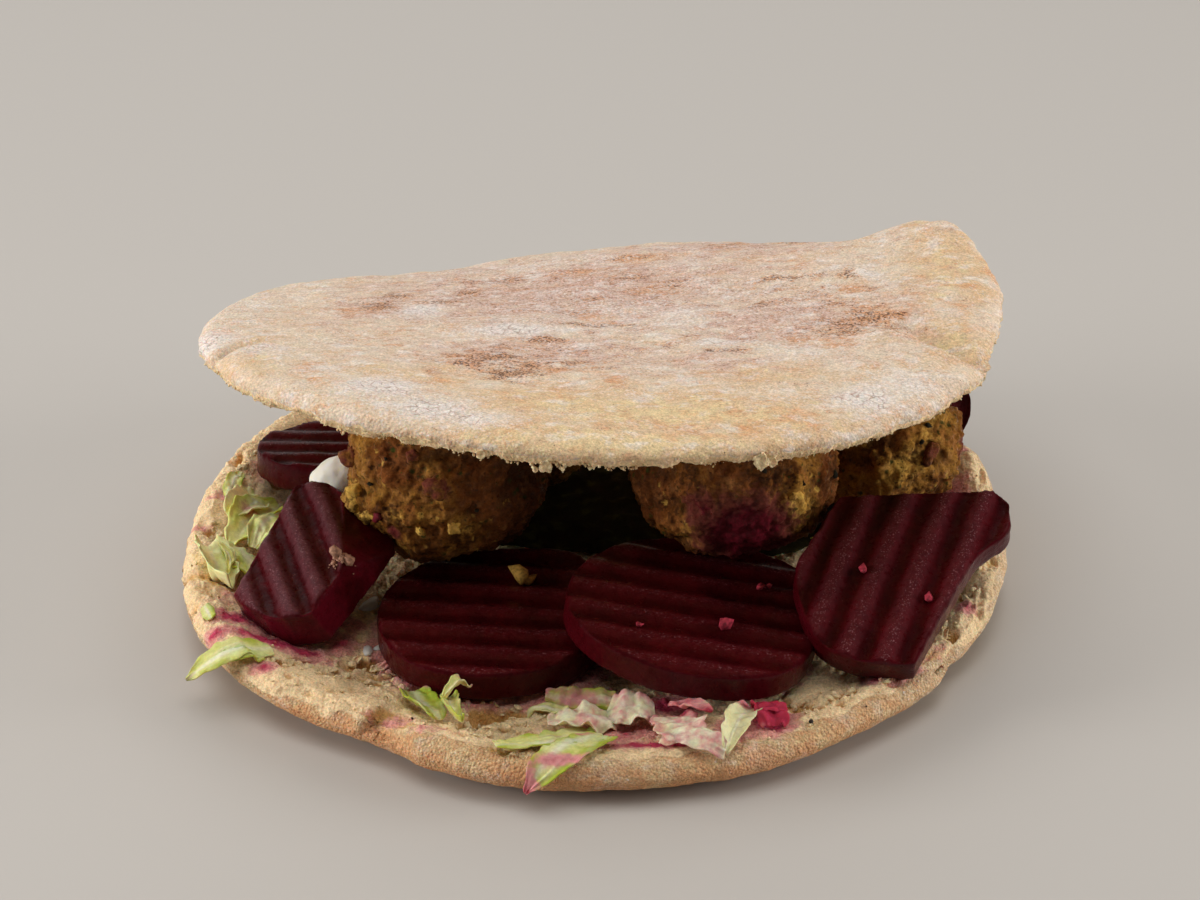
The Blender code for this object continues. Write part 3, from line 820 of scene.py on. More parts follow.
# x, y, half length, half width and depth in mm
CAVITIES = [
    (-38.5, -36, 2.6, 1.7, 2.4), (-42.5, -37.5, 1.6, 1.0, 1.4), (-33, -39.5, 2.0, 1.4, 1.2),
    (-16, -52, 6.0, 3.8, 3.4), (-14.5, -59.5, 6.0, 2.6, 2.6), (-21, -57, 2.6, 2.6, 1.8),
    (-67, -13, 2.6, 1.2, 1.8), (62, -31, 1.8, 2.2, 1.1), (70.5, -11, 1.6, 2.6, 1.0),
    (66, -20, 1.6, 1.2, 0.6), (52, -46.5, 2.4, 1.2, 0.9), (43, -49, 2.0, 1.2, 0.7),
    (-45, -41.5, 2.6, 1.0, 1.3), (-36, -43, 2.2, 1.0, 1.5), (-30, -45, 2.0, 1.2, 1.4),
    (-50.5, -37.5, 1.8, 0.9, 1.2), (36, -52, 4.0, 2.4, 1.0), (-52, -40, 3.0, 1.2, 0.8),
    (-60, -21, 2.0, 1.6, 1.0), (-69, 0, 1.4, 2.2, 0.9), (69.5, 2, 1.4, 2.4, 1.0), (-66, 24, 1.6, 3.0, 1.2),
    (20, 66, 6.0, 1.6, 1.0), (-22, 64, 5.0, 1.6, 1.0),
]

lower = working_copy("pita_bottom", "lower_bread")
remesh(lower, LOWER_CELL, 10)
smooth_places, up = points(lower), normals(lower)
rim = rim_at(smooth_places)
from_middle = np.hypot(smooth_places[:, 0], smooth_places[:, 1])
past_crest = (from_middle - rim[:, 1]) / MM
# The torn edge runs down the outside at the left, and stays near the crest at the front.
to_front = fade(-30 * MM, -62 * MM, smooth_places[:, 1])
torn_past = np.where(smooth_places[:, 0] < 0, 4.0, 2.2) * (1 - to_front) + 0.9 * to_front
crumb_share = fade(1.0, -1.0, past_crest - torn_past + 2.4 * (patches(smooth_places, 4 * MM, 3.0) - 0.5))
crumb_share *= fade(-0.2, 0.3, up[:, 2])
weigh(lower, "underside", fade(-0.5, -0.9, up[:, 2]))
weigh(lower, "on_crumb", crumb_share)
weigh(lower, "on_crust", 1 - crumb_share)
torn = np.array(CAVITIES) * MM
ragged = smooth_places + 1.5 * MM * (patches(smooth_places, 1.6 * MM, 1.0) - 0.5)[:, None]
hollow = np.zeros(len(smooth_places))
for x, y, long, wide, depth in torn:
    away = np.hypot((ragged[:, 0] - x) / long, (ragged[:, 1] - y) / wide)
    hollow = np.maximum(hollow, depth * fade(1.15, 0.55, away))
hollow *= np.maximum(crumb_share, 0.0)
open_crumb = hollow + 1.2 * MM * fade(0.55, 0.75, patches(ragged, 8 * MM, 4.0))
near_tear = crumb_share * fade(0.02 * MM, 0.6 * MM, open_crumb)


def torn_layers(places, long, wide, seed):
    """Thin layers of crumb, one behind the other, along the rim: 1 on an edge, 0 between two."""
    away = np.hypot(places[:, 0], places[:, 1]) + 2 * MM * patches(places, 6 * MM, seed)
    along = np.arctan2(places[:, 1], places[:, 0]) * 60 * MM
    spread_out = np.stack([along / long, away / wide, places[:, 2] * 0], axis=1)
    return 1 - np.abs(2 * patches(spread_out, 1.0, seed) - 1) * 2.4


layers = 0.9 * torn_layers(smooth_places, 5 * MM, 1.7 * MM, 2.0)
layers = layers + 0.4 * torn_layers(smooth_places, 2.2 * MM, 0.9 * MM, 6.0)
raised = (0.35 + 0.65 * near_tear) * crumb_share * (layers - 0.75) * MM
# A heap of torn crumb at the right, beside the last falafel ball. x, y, half length, half width and height
# in mm.
HEAP = (69, 18, 4.5, 8, 3.4)
heap = np.hypot((smooth_places[:, 0] / MM - HEAP[0]) / HEAP[2],
                (smooth_places[:, 1] / MM - HEAP[1]) / HEAP[3])
raised += HEAP[4] * MM * np.exp(-(heap**2)) * fade(0.0, 0.5, up[:, 2])
set_points(lower, smooth_places + np.array([0, 0, 1]) * (raised - hollow)[:, None])
weigh(lower, "near_tear", near_tear)
relief(lower, "CLOUDS", 9 * MM, 1.6 * MM, "on_crumb", noise_depth=2)
relief(lower, "VORONOI", 3.2 * MM, 1.0 * MM, "near_tear", middle=0.6)
relief(lower, "VORONOI", 1.2 * MM, 0.8 * MM, "near_tear", middle=0.6)
relief(lower, "VORONOI", 1.6 * MM, -0.40 * MM, "on_crumb", middle=0.4)
relief(lower, "CLOUDS", 2.4 * MM, 0.75 * MM, "on_crumb", noise_depth=3)
relief(lower, "CLOUDS", 0.8 * MM, 0.28 * MM, "on_crumb")
relief(lower, "CLOUDS", 7 * MM, 0.9 * MM, "on_crust")
relief(lower, "CLOUDS", 1.6 * MM, 0.30 * MM, "on_crust", noise_depth=2)
fold(lower, [(-34, -51), (-38, -57), (-44, -67)], 2.4, 6.0, 0.6, up)
fold(lower, [(55, -42), (62, -41), (70, -40)], 1.8, 6.0, 0.5, up)
fold(lower, [(-61, -14.5), (-67, -13.5), (-76, -13)], 1.3, 3.0, 0.3, up)
lift_to_table(lower)
pit = np.einsum("ij,ij->i", smooth_places - points(lower), up) / MM
# How deep each point lies, which the finish turns into painted shade in the pits.
paint(lower, "pit", fade(-0.1, 1.8, pit) * crumb_share)
paint(lower, "crust", 1 - crumb_share)
print("deepest pit", pit.max().round(2), "mm")

# %% Paint the lower bread
# x, y, half length, half width in mm, and a strength
STAINS = [
    (-62, -28, 5.0, 2.6, 1.1), (-65, -34, 3.0, 2.0, 0.9), (-56, -33.5, 7, 2.2, 1.2),
    (-50, -34, 5, 2.4, 1.0), (-56, -43, 2.6, 1.6, 1.0), (-44, -30, 3.4, 4.4, 0.8), (-42, -24, 3, 3, 0.6),
    (-47, -37, 5, 3, 0.5), (-34, -57, 6, 2.4, 0.45), (-27, -61, 5, 2.4, 0.40), (-5, -47, 6, 3, 0.5),
    (3, -47, 5, 4, 0.6), (8, -50, 4, 4, 0.6), (5, -58, 8, 5, 0.70), (11, -64, 10, 2.0, 1.2),
    (13, -49, 6, 4, 1.0), (24, -59, 4, 6, 0.8), (30, -57, 4, 6, 1.1), (48, -45, 2.2, 2.2, 0.9),
    (65, -24, 2.0, 2.0, 0.8), (-72, 2, 3, 1.4, 0.5), (-66, 12, 6, 1.6, 0.6), (60, -38, 4, 5, 0.4),
    (-64, -20, 3, 5, 0.35), (-30, -45, 6, 2, 0.35), (66, 11, 3, 4, 0.7),
]
spots = points(lower)
soaked = np.maximum(0.75 * juice(spots, 4.5 * MM), ovals(spots, STAINS))
paint(lower, "juice", soaked * (0.25 + 0.75 * crumb_share))
# Flour only lies more than 6 mm above the table.
lit_side = fade(0, 6 * MM, spots[:, 2])
to_right = fade(30 * MM, 60 * MM, spots[:, 0])
to_left = fade(-55 * MM, -70 * MM, spots[:, 0])
# Painted shade in part: golden grows towards the front, where the crust faces away from the lamps. It falls
# off towards the right and grows towards the left.
paint(lower, "golden", (0.15 + 0.55 * to_front - 0.35 * to_right + 0.5 * to_left) + 0.7
      * patches(spots, 11 * MM, 8.0))
# Painted shade in part: tanned grows towards the front and falls off towards the right. It lies only within
# 13 mm of the table, full below 3 mm.
browner = (0.9 + 0.7 * to_front - 0.5 * to_right) * fade(13 * MM, 3 * MM, spots[:, 2])
paint(lower, "tanned", browner * (0.3 + 0.7 * patches(spots, 9 * MM, 5.0)))
paint(lower, "baked", 0.20 * fade(0.45, 0.75, patches(spots, 14 * MM, 6.0)))
paint(lower, "floured", 0.45 * fade(0.4, 0.75, patches(spots, 12 * MM, 2.0)) * lit_side)
thin_out(lower, "underside", 0.60)
lift_to_table(lower)
lower_finish = bread_finish("rim_crust", YELLOW_CREAM, flour=0.26, toast=1.0)
hand_over(lower, lower_finish, "bread", "pita_bottom")
LOWER_TREE = tree_of(lower)


def bread_under(x, y):
    """Height of the lower bread's upper side at this place."""
    hit = LOWER_TREE.ray_cast(Vector((x, y, 60 * MM)), Vector((0, 0, -1)))[0]
    return hit.z if hit else 0.0


# %% [markdown]
# ## Small things, many times
# Crumbs, flakes and specks come in dozens. Each kind is modelled once, or a few times for variety, and then
# repeated: every copy gets a seat, which is a place, the way its top faces, a turn and a size. All the
# copies of a kind become one mesh, because a single piece with real faces survives an export and instances
# do not.

# %% Model once, repeat many times
def model_of(piece):
    """A small model's points and faces. The piece itself is taken off the scene."""
    model = points(piece), [tuple(face.vertices) for face in piece.data.polygons]
    bpy.data.objects.remove(piece)
    return model


def rough_lump(seed, roughness=0.45, finer=2, share=0.5):
    """A crumb about two units across: a ball with knocks and knobs, and this share of its faces."""
    bpy.ops.object.select_all(action="DESELECT")
    bpy.ops.mesh.primitive_ico_sphere_add(subdivisions=finer, radius=1)
    piece = bpy.context.object
    places = points(piece)
    knobs, knocks = patches(places, 0.9, seed) - 0.5, patches(places, 0.4, seed) - 0.5
    swell = 1 + roughness * 2 * knobs + roughness * knocks
    set_points(piece, places * swell[:, None])
    if share < 1:
        weigh(piece, "all", np.ones(len(places)))
        thin_out(piece, "all", share)
    return model_of(piece)


def ragged_flake(seed, cells=6):
    """A torn flake of crumb about two units long, with a ragged outline and lifted edges."""
    bpy.ops.object.select_all(action="DESELECT")
    bpy.ops.mesh.primitive_grid_add(x_subdivisions=cells, y_subdivisions=cells, size=2)
    piece = bpy.context.object
    places = points(piece)
    x, y = places[:, 0].copy(), places[:, 1].copy()
    ragged = 0.75 + 0.9 * (patches(places, 0.5, seed) - 0.3)
    round_off = 1 - 0.25 * (x * y) ** 2
    lift = 0.5 * (x**2 + 0.6 * y**2) * 0.6 + 0.5 * (patches(places, 0.6, seed + 4) - 0.5)
    set_points(piece, np.stack([x * ragged * round_off, 0.7 * y * ragged * round_off, lift], axis=1))
    wall = piece.modifiers.new("wall", "SOLIDIFY")
    wall.thickness = 0.22
    apply_modifiers(piece)
    return model_of(piece)


def strew(name, models, seats):
    """One piece made of many copies of small models. A seat is a place, a top, a turn and three sizes."""
    corners, faces, start = [], [], 0
    for number, (place, top, turn, sizes) in enumerate(seats):
        model_points, model_faces = models[number % len(models)]
        stand = Vector(top).to_track_quat("Z", "Y").to_matrix() @ Matrix.Rotation(turn, 3, "Z")
        corners.append((model_points * np.asarray(sizes)) @ np.array(stand).T + np.asarray(place))
        faces += [[index + start for index in face] for face in model_faces]
        start += len(model_points)
    mesh = bpy.data.meshes.new(name)
    mesh.from_pydata(np.concatenate(corners).tolist(), [], faces)
    piece = bpy.data.objects.new(name, mesh)
    bpy.context.scene.collection.objects.link(piece)
    return piece


LUMPS = [rough_lump(seed) for seed in (1.0, 2.3, 3.9, 5.1)]
FLAKES = [ragged_flake(seed) for seed in (1.0, 2.2, 3.4, 4.8, 6.1)]
print(len(LUMPS), "lumps and", len(FLAKES), "flakes to choose from")

# %% [markdown]
# ### Torn crumb
# Noise can only push a surface in and out. Where the bread was torn, fluffs of crumb stand up round the
# edges of the cavities and thin layers overlap inside the large one. They are small lumps and flakes of
# their own.

# %% Torn fluffs and layers
FLUFFS_ROUND_A_CAVITY = 14
LONE_FLUFFS = 80
# x, y in mm, half length and half width in mm, turn in degrees, of layers of crumb
LAYERS = [
    (-17.5, -55.0, 3.4, 1.5, 8), (-14.0, -57.6, 3.8, 1.5, 2), (-11.5, -54.2, 3.0, 1.3, -6),
    (-19.5, -58.8, 2.8, 1.4, 14), (-13.0, -61.0, 3.2, 1.3, -3), (-36.5, -37.8, 1.8, 1.0, 20),
    (-33.5, -38.6, 1.6, 0.8, -10), (-41.0, -35.6, 1.4, 0.8, 30), (61.5, -32.5, 1.5, 1.0, 60),
    (50.0, -46.0, 1.7, 0.8, 35),
]


def inside_rim(x, y, least):
    """The place in metres, moved towards the middle if it lies nearer the rim's crest than this."""
    place = np.array([x, y]) * MM
    over = np.hypot(*place) - rim_at(place[None])[0, 1] + least * MM
    if over > 0:
        place *= 1 - over / np.hypot(*place)
    return place


def fluff_seat(chance, x, y, largest):
    place = inside_rim(x, y, 0.8)
    size = largest * chance.uniform(0.3, 1.0) * MM
    spot = (*place, bread_under(*place) - 0.15 * size)
    sizes = size * chance.uniform(0.4, 1.7, 3) * np.array([1, 1, 0.6])
    return spot, (*chance.normal(0, 0.6, 2), 1), chance.uniform(0, ANY_TURN), sizes


def torn_seats(chance):
    """Fluffs round the edge of each cavity, and some alone along the front."""
    seats = []
    for x, y, long, wide, _ in CAVITIES:
        for _ in range(int(FLUFFS_ROUND_A_CAVITY * math.sqrt(long * wide / 3))):
            turn, far = chance.uniform(0, 2 * math.pi), chance.normal(1.1, 0.12)
            across, along = far * long * math.cos(turn), far * wide * math.sin(turn)
            seats.append(fluff_seat(chance, x + across, y + along, 0.75))
    for _ in range(LONE_FLUFFS):
        turn, inward = chance.uniform(-math.pi, 0), chance.uniform(0.8, 12)
        far = rim_at(np.array([[math.cos(turn), math.sin(turn)]]))[0, 1] / MM - inward
        seats.append(fluff_seat(chance, far * math.cos(turn), far * math.sin(turn), 0.5))
    return seats


def layer_seats():
    """Layers lean back, so that each shows its torn front edge."""
    seats = []
    for x, y, long, wide, turn in LAYERS:
        place = inside_rim(x, y, 1.0)
        size = np.array([long, wide, 1.0]) * MM
        seats.append(((*place, bread_under(*place) + 0.5 * MM), (0.05, -0.55, 1), turn * DEGREE, size))
    return seats


def paint_small(piece, reach, pit_share=0.3):
    """Juice, and an even share of painted pit shade, for a piece made of many small bits."""
    spots = points(piece)
    paint(piece, "juice", np.maximum(0.7 * juice(spots, reach), 0.8 * ovals(spots, STAINS)))
    paint(piece, "pit", np.full(len(spots), pit_share))


crumb_finish = bread_finish("torn_crumb", YELLOW_CREAM, flour=0.2, toast=0.2)
FINE_FLAKES = [ragged_flake(seed, cells=14) for seed in (1.0, 2.2, 3.4)]
fluffs = strew("torn_rags", LUMPS, torn_seats(np.random.default_rng(11)))
rags = joined("torn_rags", [fluffs, strew("torn_layers", FINE_FLAKES, layer_seats())])
paint_small(rags, 2.5 * MM, 0.15)
hand_over(rags, crumb_finish, "bread")

# %% [markdown]
# ### Ragged edge of the upper bread
# Where the top was torn off, bits of white crumb hang from its lower edge, bright against the dark filling.
# The places for them are read from the finished upper bread: points low on its lip, on the open side.

# %% Crumb hanging from the upper lip
TOP_MIDDLE = (2.8 * MM, 7.5 * MM)
TOP_HALF_SIZES = (72.5 * MM, 66 * MM)
lip_normals, lip_points = normals(upper), points(upper)
from_top = lip_points[:, :2] - TOP_MIDDLE
turn = np.arctan2(from_top[:, 1], from_top[:, 0]) / DEGREE
on_lip = (lip_normals[:, 2] < -0.35) & (lip_normals[:, 2] > -0.85) & (turn > -172) & (turn < -8)
reach = np.hypot(lip_points[:, 0] / TOP_HALF_SIZES[0], from_top[:, 1] / TOP_HALF_SIZES[1])
LIP = lip_points[on_lip & (reach > 0.93)]
# x in mm, how many millimetres it spreads, number of crumbs and the largest size in mm
CLUSTERS = [
    (-18.5, 1.6, 26, 0.55), (-8.5, 1.8, 34, 0.70), (-5.0, 1.4, 26, 0.60), (2.5, 1.6, 22, 0.45),
    (-41, 1.0, 14, 0.45), (-29, 2.0, 12, 0.32), (13, 1.4, 12, 0.35), (46, 1.2, 8, 0.30),
    (-22, 2.4, 16, 0.35), (-13, 2.0, 18, 0.40), (-7, 0.8, 16, 0.85), (0, 1.6, 16, 0.50), (6, 2.0, 16, 0.40),
    (20, 2.4, 14, 0.32), (36, 2.0, 12, 0.30), (-34, 1.6, 12, 0.35),
]
# x in mm, and length in mm, of the flakes that stand out
LONG_FLAKES = [(28.0, 2.0), (29.2, 1.4), (-7.5, 1.5), (-17.8, 1.2)]


def hang_from(place, chance, size):
    down = (*chance.normal(0, 0.5, 2), -1)
    return place, down, chance.uniform(0, ANY_TURN), size * chance.uniform(0.5, 1.2, 3)


def lip_seats(chance, count, size):
    """Very small crumb all along the lip, and clusters of larger crumb that hang down."""
    seats = [hang_from(LIP[index], chance, chance.uniform(0.4, 1) * size
                       * MM) for index in chance.integers(0, len(LIP), count)]
    for x, spread, crumbs, largest in CLUSTERS:
        near = LIP[np.abs(LIP[:, 0] - x * MM) < spread * MM]
        near = near[near[:, 2] < np.median(near[:, 2])]
        for _ in range(crumbs):
            fall = chance.uniform(0, 1) ** 2
            place = near[chance.integers(len(near))].copy()
            place[0] = x * MM + (place[0] - x * MM) * (1 - 0.6 * fall)
            place[2] -= 1.8 * largest * fall * MM
            seats.append(hang_from(place, chance, largest * chance.uniform(0.22, 0.75) * MM))
    return seats


def flake_seats():
    seats = []
    for x, length in LONG_FLAKES:
        near = LIP[np.argmin(np.abs(LIP[:, 0] - x * MM) + 2 * (LIP[:, 1] + 60 * MM))]
        size = length * MM * np.array([0.55, 0.9, 0.6])
        seats.append((near + np.array([0, -0.2 * MM, -0.45 * length * MM]), (0.1, -1, 0.25), 0.3, size))
    return seats


hanging = strew("hanging_crumb", LUMPS, lip_seats(np.random.default_rng(5), 700, 0.26))
hanging = joined("hanging_crumb", [hanging, strew("hanging_flakes", FLAKES, flake_seats())])
paint(hanging, "pit", np.zeros(len(points(hanging))))
hand_over(hanging, crumb_finish, "bread")

# %% [markdown]
# ## Falafel
# A falafel ball is coarse: ground chickpeas and herbs, fried until the outside is brown and craggy. Lumps of
# paste stick out, and here and there a yellow chickpea crumb or a green fleck of parsley shows. The surface
# is built in layers from large to small. Cell noise turned inside out gives grains with narrow gaps between
# them, as in any paste of ground grains, and soft noise makes them uneven.

# %% Shape the falafel balls
# node: size of its faces in mm
BALLS = {"falafel_left": 0.45, "falafel_middle": 0.45, "falafel_right": 0.46, "falafel_back": 0.7}
LEFT, MIDDLE, RIGHT, _ = BALLS


def on_ball(node, turn, height):
    """A place on a ball in mm: degrees from its front towards the right, and degrees above its middle."""
    solid = points(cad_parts[node])
    low, high = solid.min(0), solid.max(0)
    turn, height = turn * DEGREE, height * DEGREE
    aim = (math.sin(turn) * math.cos(height), -math.cos(turn) * math.cos(height), math.sin(height))
    return tuple(((low + high) / 2 + (high - low) / 2 * aim) / MM)


def on_balls(wanted):
    """Turns places given on a ball into x, y, z and radius in mm, and a strength."""
    return [(*on_ball(node, turn, height), radius, strength) for node, turn, height, radius,
            strength in wanted]


# ball, turn and height on it in degrees, radius in mm and a strength: where it is fried darkest or lies in
# painted shade, shows pale paste, bulges or took up juice
# Painted shade in part: on the sides of the left and middle balls that face the dark mouth, and on the tops
# under the upper bread, these patches stand for shade as well as frying.
CRISP = on_balls([
    (LEFT, 50, 10, 11, 1.0), (LEFT, 75, -30, 10, 1.0), (LEFT, -35, 20, 5, 0.6), (MIDDLE, -65, -10, 8, 0.9),
    (MIDDLE, 70, -10, 6, 1.0), (MIDDLE, 0, 35, 9, 0.5), (RIGHT, 20, 70, 8, 0.5),
])
PALE = on_balls([
    (LEFT, -75, -20, 3.4, 1.0), (LEFT, 10, -25, 3.0, 0.9), (LEFT, -30, -40, 2.4, 0.8),
    (LEFT, -30, -15, 2.4, 1.0), (LEFT, 0, 5, 2.0, 0.8), (MIDDLE, 35, -15, 6.5, 1.0),
    (MIDDLE, -25, -25, 2.2, 0.8), (RIGHT, 45, 30, 5.0, 0.9), (RIGHT, 15, 10, 6, 1.0),
    (RIGHT, -15, 30, 4, 0.7),
])
LUMPY = [place for place in PALE if place[3] < 4] + on_balls([
    (LEFT, -35, 5, 2.4, 1.2), (LEFT, 40, -20, 3.0, 0.9), (MIDDLE, -45, -30, 3.0, 1.0),
    (MIDDLE, 55, -40, 2.6, 1.2), (LEFT, -45, -10, 2.2, 1.2),
])
JUICY = on_balls([
    (MIDDLE, 5, -30, 8.5, 1.15), (MIDDLE, 35, -50, 4.5, 1.0), (MIDDLE, -20, -10, 4, 0.7),
    (LEFT, -35, -30, 1.4, 1.0), (LEFT, 0, 5, 1.8, 0.4), (LEFT, -20, -45, 1.5, 0.5), (RIGHT, 85, 0, 3, 0.5),
])


def falafel_ball(node, cell):
    piece = working_copy(node, f"{node}_ball")
    remesh(piece, cell * MM, 8)
    smooth_places, up = points(piece), normals(piece)
    relief(piece, "CLOUDS", 8 * MM, 2.4 * MM, noise_depth=2)
    relief(piece, "VORONOI", 3.6 * MM, -1.2 * MM, middle=0.4)
    relief(piece, "CLOUDS", 2.2 * MM, 1.3 * MM, noise_depth=3)
    set_points(piece, points(piece) + up * (0.9 * MM * blots(points(piece), LUMPY))[:, None])
    relief(piece, "VORONOI", 1.2 * MM, -0.8 * MM, middle=0.4)
    relief(piece, "CLOUDS", 0.7 * MM, 0.45 * MM)
    spots = points(piece)
    pit = np.einsum("ij,ij->i", smooth_places - spots, up) / MM
    # How deep each point lies in the relief. The finish paints the deep points dark, as shade in the cracks.
    paint(piece, "pit", fade(-0.8, 1.2, pit))
    # Fried darkest, and painted shade where the balls face the mouth or lie under the upper bread.
    paint(piece, "crisp", blots(spots, CRISP))
    paint(piece, "pale", blots(spots, PALE))
    paint(piece, "juice", np.maximum(blots(spots, JUICY), 0.8 * juice(spots, 1.8 * MM)))
    return piece


balls = {node: falafel_ball(node, cell) for node, cell in BALLS.items()}
print("falafel:", {node: len(piece.data.vertices) for node, piece in balls.items()})

# %% [markdown]
# ### Falafel finish
# Fried brown over golden paste. The cracks are painted nearly black as painted shade. The most fried knobs
# are painted darker, and so are the sides that face the dark mouth and the tops under the upper bread, where
# it is painted shade. Flecks of herb and spice are small cells of noise, kept only where a second, wider
# noise allows them, so they come in groups.

# %% Falafel finish
FRIED = (0.150, 0.052, 0.010)
BROWNED = (0.150, 0.038, 0.010)
PASTE = (0.43, 0.215, 0.040)
DARKEST = (0.050, 0.018, 0.006)
RUSSET = (0.26, 0.088, 0.024)
HERB = (0.030, 0.040, 0.007)
CHICKPEA = (0.66, 0.40, 0.085)
TAN = (0.33, 0.145, 0.050)
BLUSH = (0.145, 0.036, 0.024)
BLUSH_DEEP = (0.095, 0.006, 0.012)
# colour, size in mm, share of each cell, strength and shift
FLECKS = [
    (HERB, 1.9, 0.34, 0.90, 0.0), (CHICKPEA, 3.0, 0.24, 0.65, 9.0), (DARKEST, 1.1, 0.32, 0.9, 2.0),
    (HERB, 0.8, 0.24, 0.85, 5.0),
]


def falafel_finish(name):
    box = PaintBox(name)
    broad = box.grain(7 * MM, detail=2, shift=2.0)
    middling = box.grain(2.2 * MM, detail=3, roughness=0.6, shift=4.0)
    fine = box.grain(0.7 * MM, detail=3, roughness=0.7, shift=8.0)
    lit = box.plus(box.times(broad, 0.7), box.plus(box.times(middling, 0.5), box.times(fine, 0.25)))
    crisp = box.painted("crisp")
    paler = box.plus(box.times(box.painted("pale"), 0.26), box.times(crisp, -0.26))
    colour = box.layer(FRIED, PASTE, box.mask(box.plus(lit, paler), 0.64, 1.00))
    colour = box.layer(colour, CHICKPEA, box.mask(box.times(box.painted("pale"), middling), 0.34, 0.62))
    # The painted crisp value darkens the balls where they are most fried and, as painted shade, where they
    # face the mouth or lie under the upper bread.
    browned = box.mask(box.plus(box.times(crisp, 0.7), broad), 0.55, 1.05)
    colour = box.layer(colour, BROWNED, browned, 0.75)
    darkest = box.mask(box.plus(crisp, box.times(middling, 0.8)), 0.5, 1.6)
    colour = box.layer(colour, DARKEST, darkest, 0.85)
    reddish = box.mask(box.grain(5 * MM, detail=3, roughness=0.6, shift=14.0), 0.48, 0.66)
    colour = box.layer(colour, RUSSET, reddish, 0.65)
    tans = box.times(box.mask(box.cells(4.2 * MM, shift=3.0), 0.50, 0.20), box.mask(middling, 0.46, 0.60))
    colour = box.layer(colour, TAN, tans, 0.5)
    # Painted shade: the deeper a point lies in a crack, the nearer to black it is painted.
    deep = box.plus(box.painted("pit"), box.times(fine, 0.6))
    colour = box.layer(colour, DARKEST, box.mask(deep, 0.78, 1.32), 0.62)
    burnt = box.granules(box.times(box.mask(broad, 0.6, 0.35), 0.6), 1.0 * MM, 1.0)
    colour = box.layer(colour, DARKEST, burnt, 0.75)
    for look, size, wanted, strength, shift in FLECKS:
        uneven = box.plus(box.cells(size * MM, shift=shift), box.swing(fine, 0.5))
        here = box.mask(box.grain(3 * MM, detail=2, shift=shift + 1.5), 0.50, 0.60)
        fleck = box.times(box.mask(uneven, wanted, 0.5 * wanted), here)
        colour = box.layer(colour, look, fleck, strength)
    colour = box.stained(colour, 1.5 * MM, BLUSH, BLUSH_DEEP)
    colour = box.uneven(colour, 0.45 * MM, 0.26, 6.0)
    rough = box.bump(middling, 0.25 * MM)
    rough = box.bump(fine, 0.22 * MM, rough)
    gloss = box.mask(box.grain(1.2 * MM, detail=2, shift=12.0), 0.9, 0.25)
    return box.finish(colour, gloss, rough, Specular_IOR_Level=0.20)


ball_finish = falafel_finish("fried_falafel")
for node, piece in balls.items():
    hand_over(piece, ball_finish, "falafel", node)

# %% [markdown]
# ## Beetroot slices
# The slices were cut with a wavy knife, so both faces are wavy and run side by side, with a smooth skin
# round the edge. Each one starts as a flat oval cylinder. Straight cuts are bisected off it, an even grid
# is laid over it, and then the knife's wave pushes every point up or down by the same amount at the same
# place across the slice, which keeps the slice equally thick. Last, the slice is tipped and set in its
# place.

# %% Shape the slices
SLICE_THICKNESS = 5.0 * MM
SLICE_CELL = 0.46 * MM
# node: middle, half sizes across and along the waves in mm, turn and two tilts in degrees, length and height
# of the waves in mm
SLICE_SHAPES = {
    "beet_back_left": ((-46.4, 17.9, 14.8), (12.4, 15.5), 88, (-9, 0), 5.5, 1.0),
    "beet_left": ((-49.9, -18.7, 16.0), (14.5, 16.5), 18, (15, -17), 6.0, 1.0),
    "beet_front_left": ((-16.9, -28.2, 8.6), (20.0, 20.6), 84, (0, 0), 6.5, 0.6),
    "beet_front_middle": ((16.0, -31.0, 12.7), (20.0, 21.8), 84, (1, 7), 6.5, 0.6),
    "beet_right": ((56.6, -27.3, 18.5), (19.4, 20.9), -20, (21.5, 0), 6.5, 1.1),
    "beet_back_right": ((58.6, 26.4, 21.4), (11.5, 9.5), 0, (72, 0), 6.5, 0.8),
}
# node: flat cuts, each a direction and a rise in degrees, and its distance in mm from the middle
FLAT_CUTS = {
    "beet_left": [(140, 0, 8.6), (-50, 8, 10.6), (-12, 46, 7.4), (17, 30, 11.8)],
    "beet_right": [(113, 0, 15.2), (-8, 0, 7.8), (176, 0, 19.2)],
}
# node: bulges of the outline, each a direction and a spread in degrees and how far it stands out in mm
BULGES = {
    "beet_front_left": [(-28, 22, 3.0), (148, 26, 1.6)],
    "beet_front_middle": [(-133, 30, 4.6), (180, 36, 2.4), (-55, 28, 3.8), (60, 40, -1.8)],
    "beet_right": [(-118, 26, 4.2), (-156, 16, 2.4)],
}
# x, y and radius of a knob on the edge, in mm, and how far it stands out
KNOBS = {"beet_right": (9.0, 12.0, 4.5, 3.0)}
THICKER = {"beet_left": 2.6}
# how much painted sheen, a mauve reflection on the crests, shows on a slice, where it isn't the usual
BLOOM = {"beet_left": 0.55, "beet_right": 0.18, "beet_back_left": 0.0}


def cut_flat(piece, direction, rise, distance):
    """Cuts off what lies beyond a plane and closes the cut. A rise above 0 gives a slanted face."""
    level = Vector((math.cos(direction * DEGREE), math.sin(direction * DEGREE), 0))
    outwards = level * math.cos(rise * DEGREE) + Vector((0, 0, math.sin(rise * DEGREE)))
    only(piece)
    bpy.ops.object.mode_set(mode="EDIT")
    bpy.ops.mesh.select_all(action="SELECT")
    cut_at = level * distance * MM + Vector((0, 0, SLICE_THICKNESS / 2))
    bpy.ops.mesh.bisect(plane_co=cut_at, plane_no=outwards, use_fill=True, clear_outer=True)
    bpy.ops.object.mode_set(mode="OBJECT")


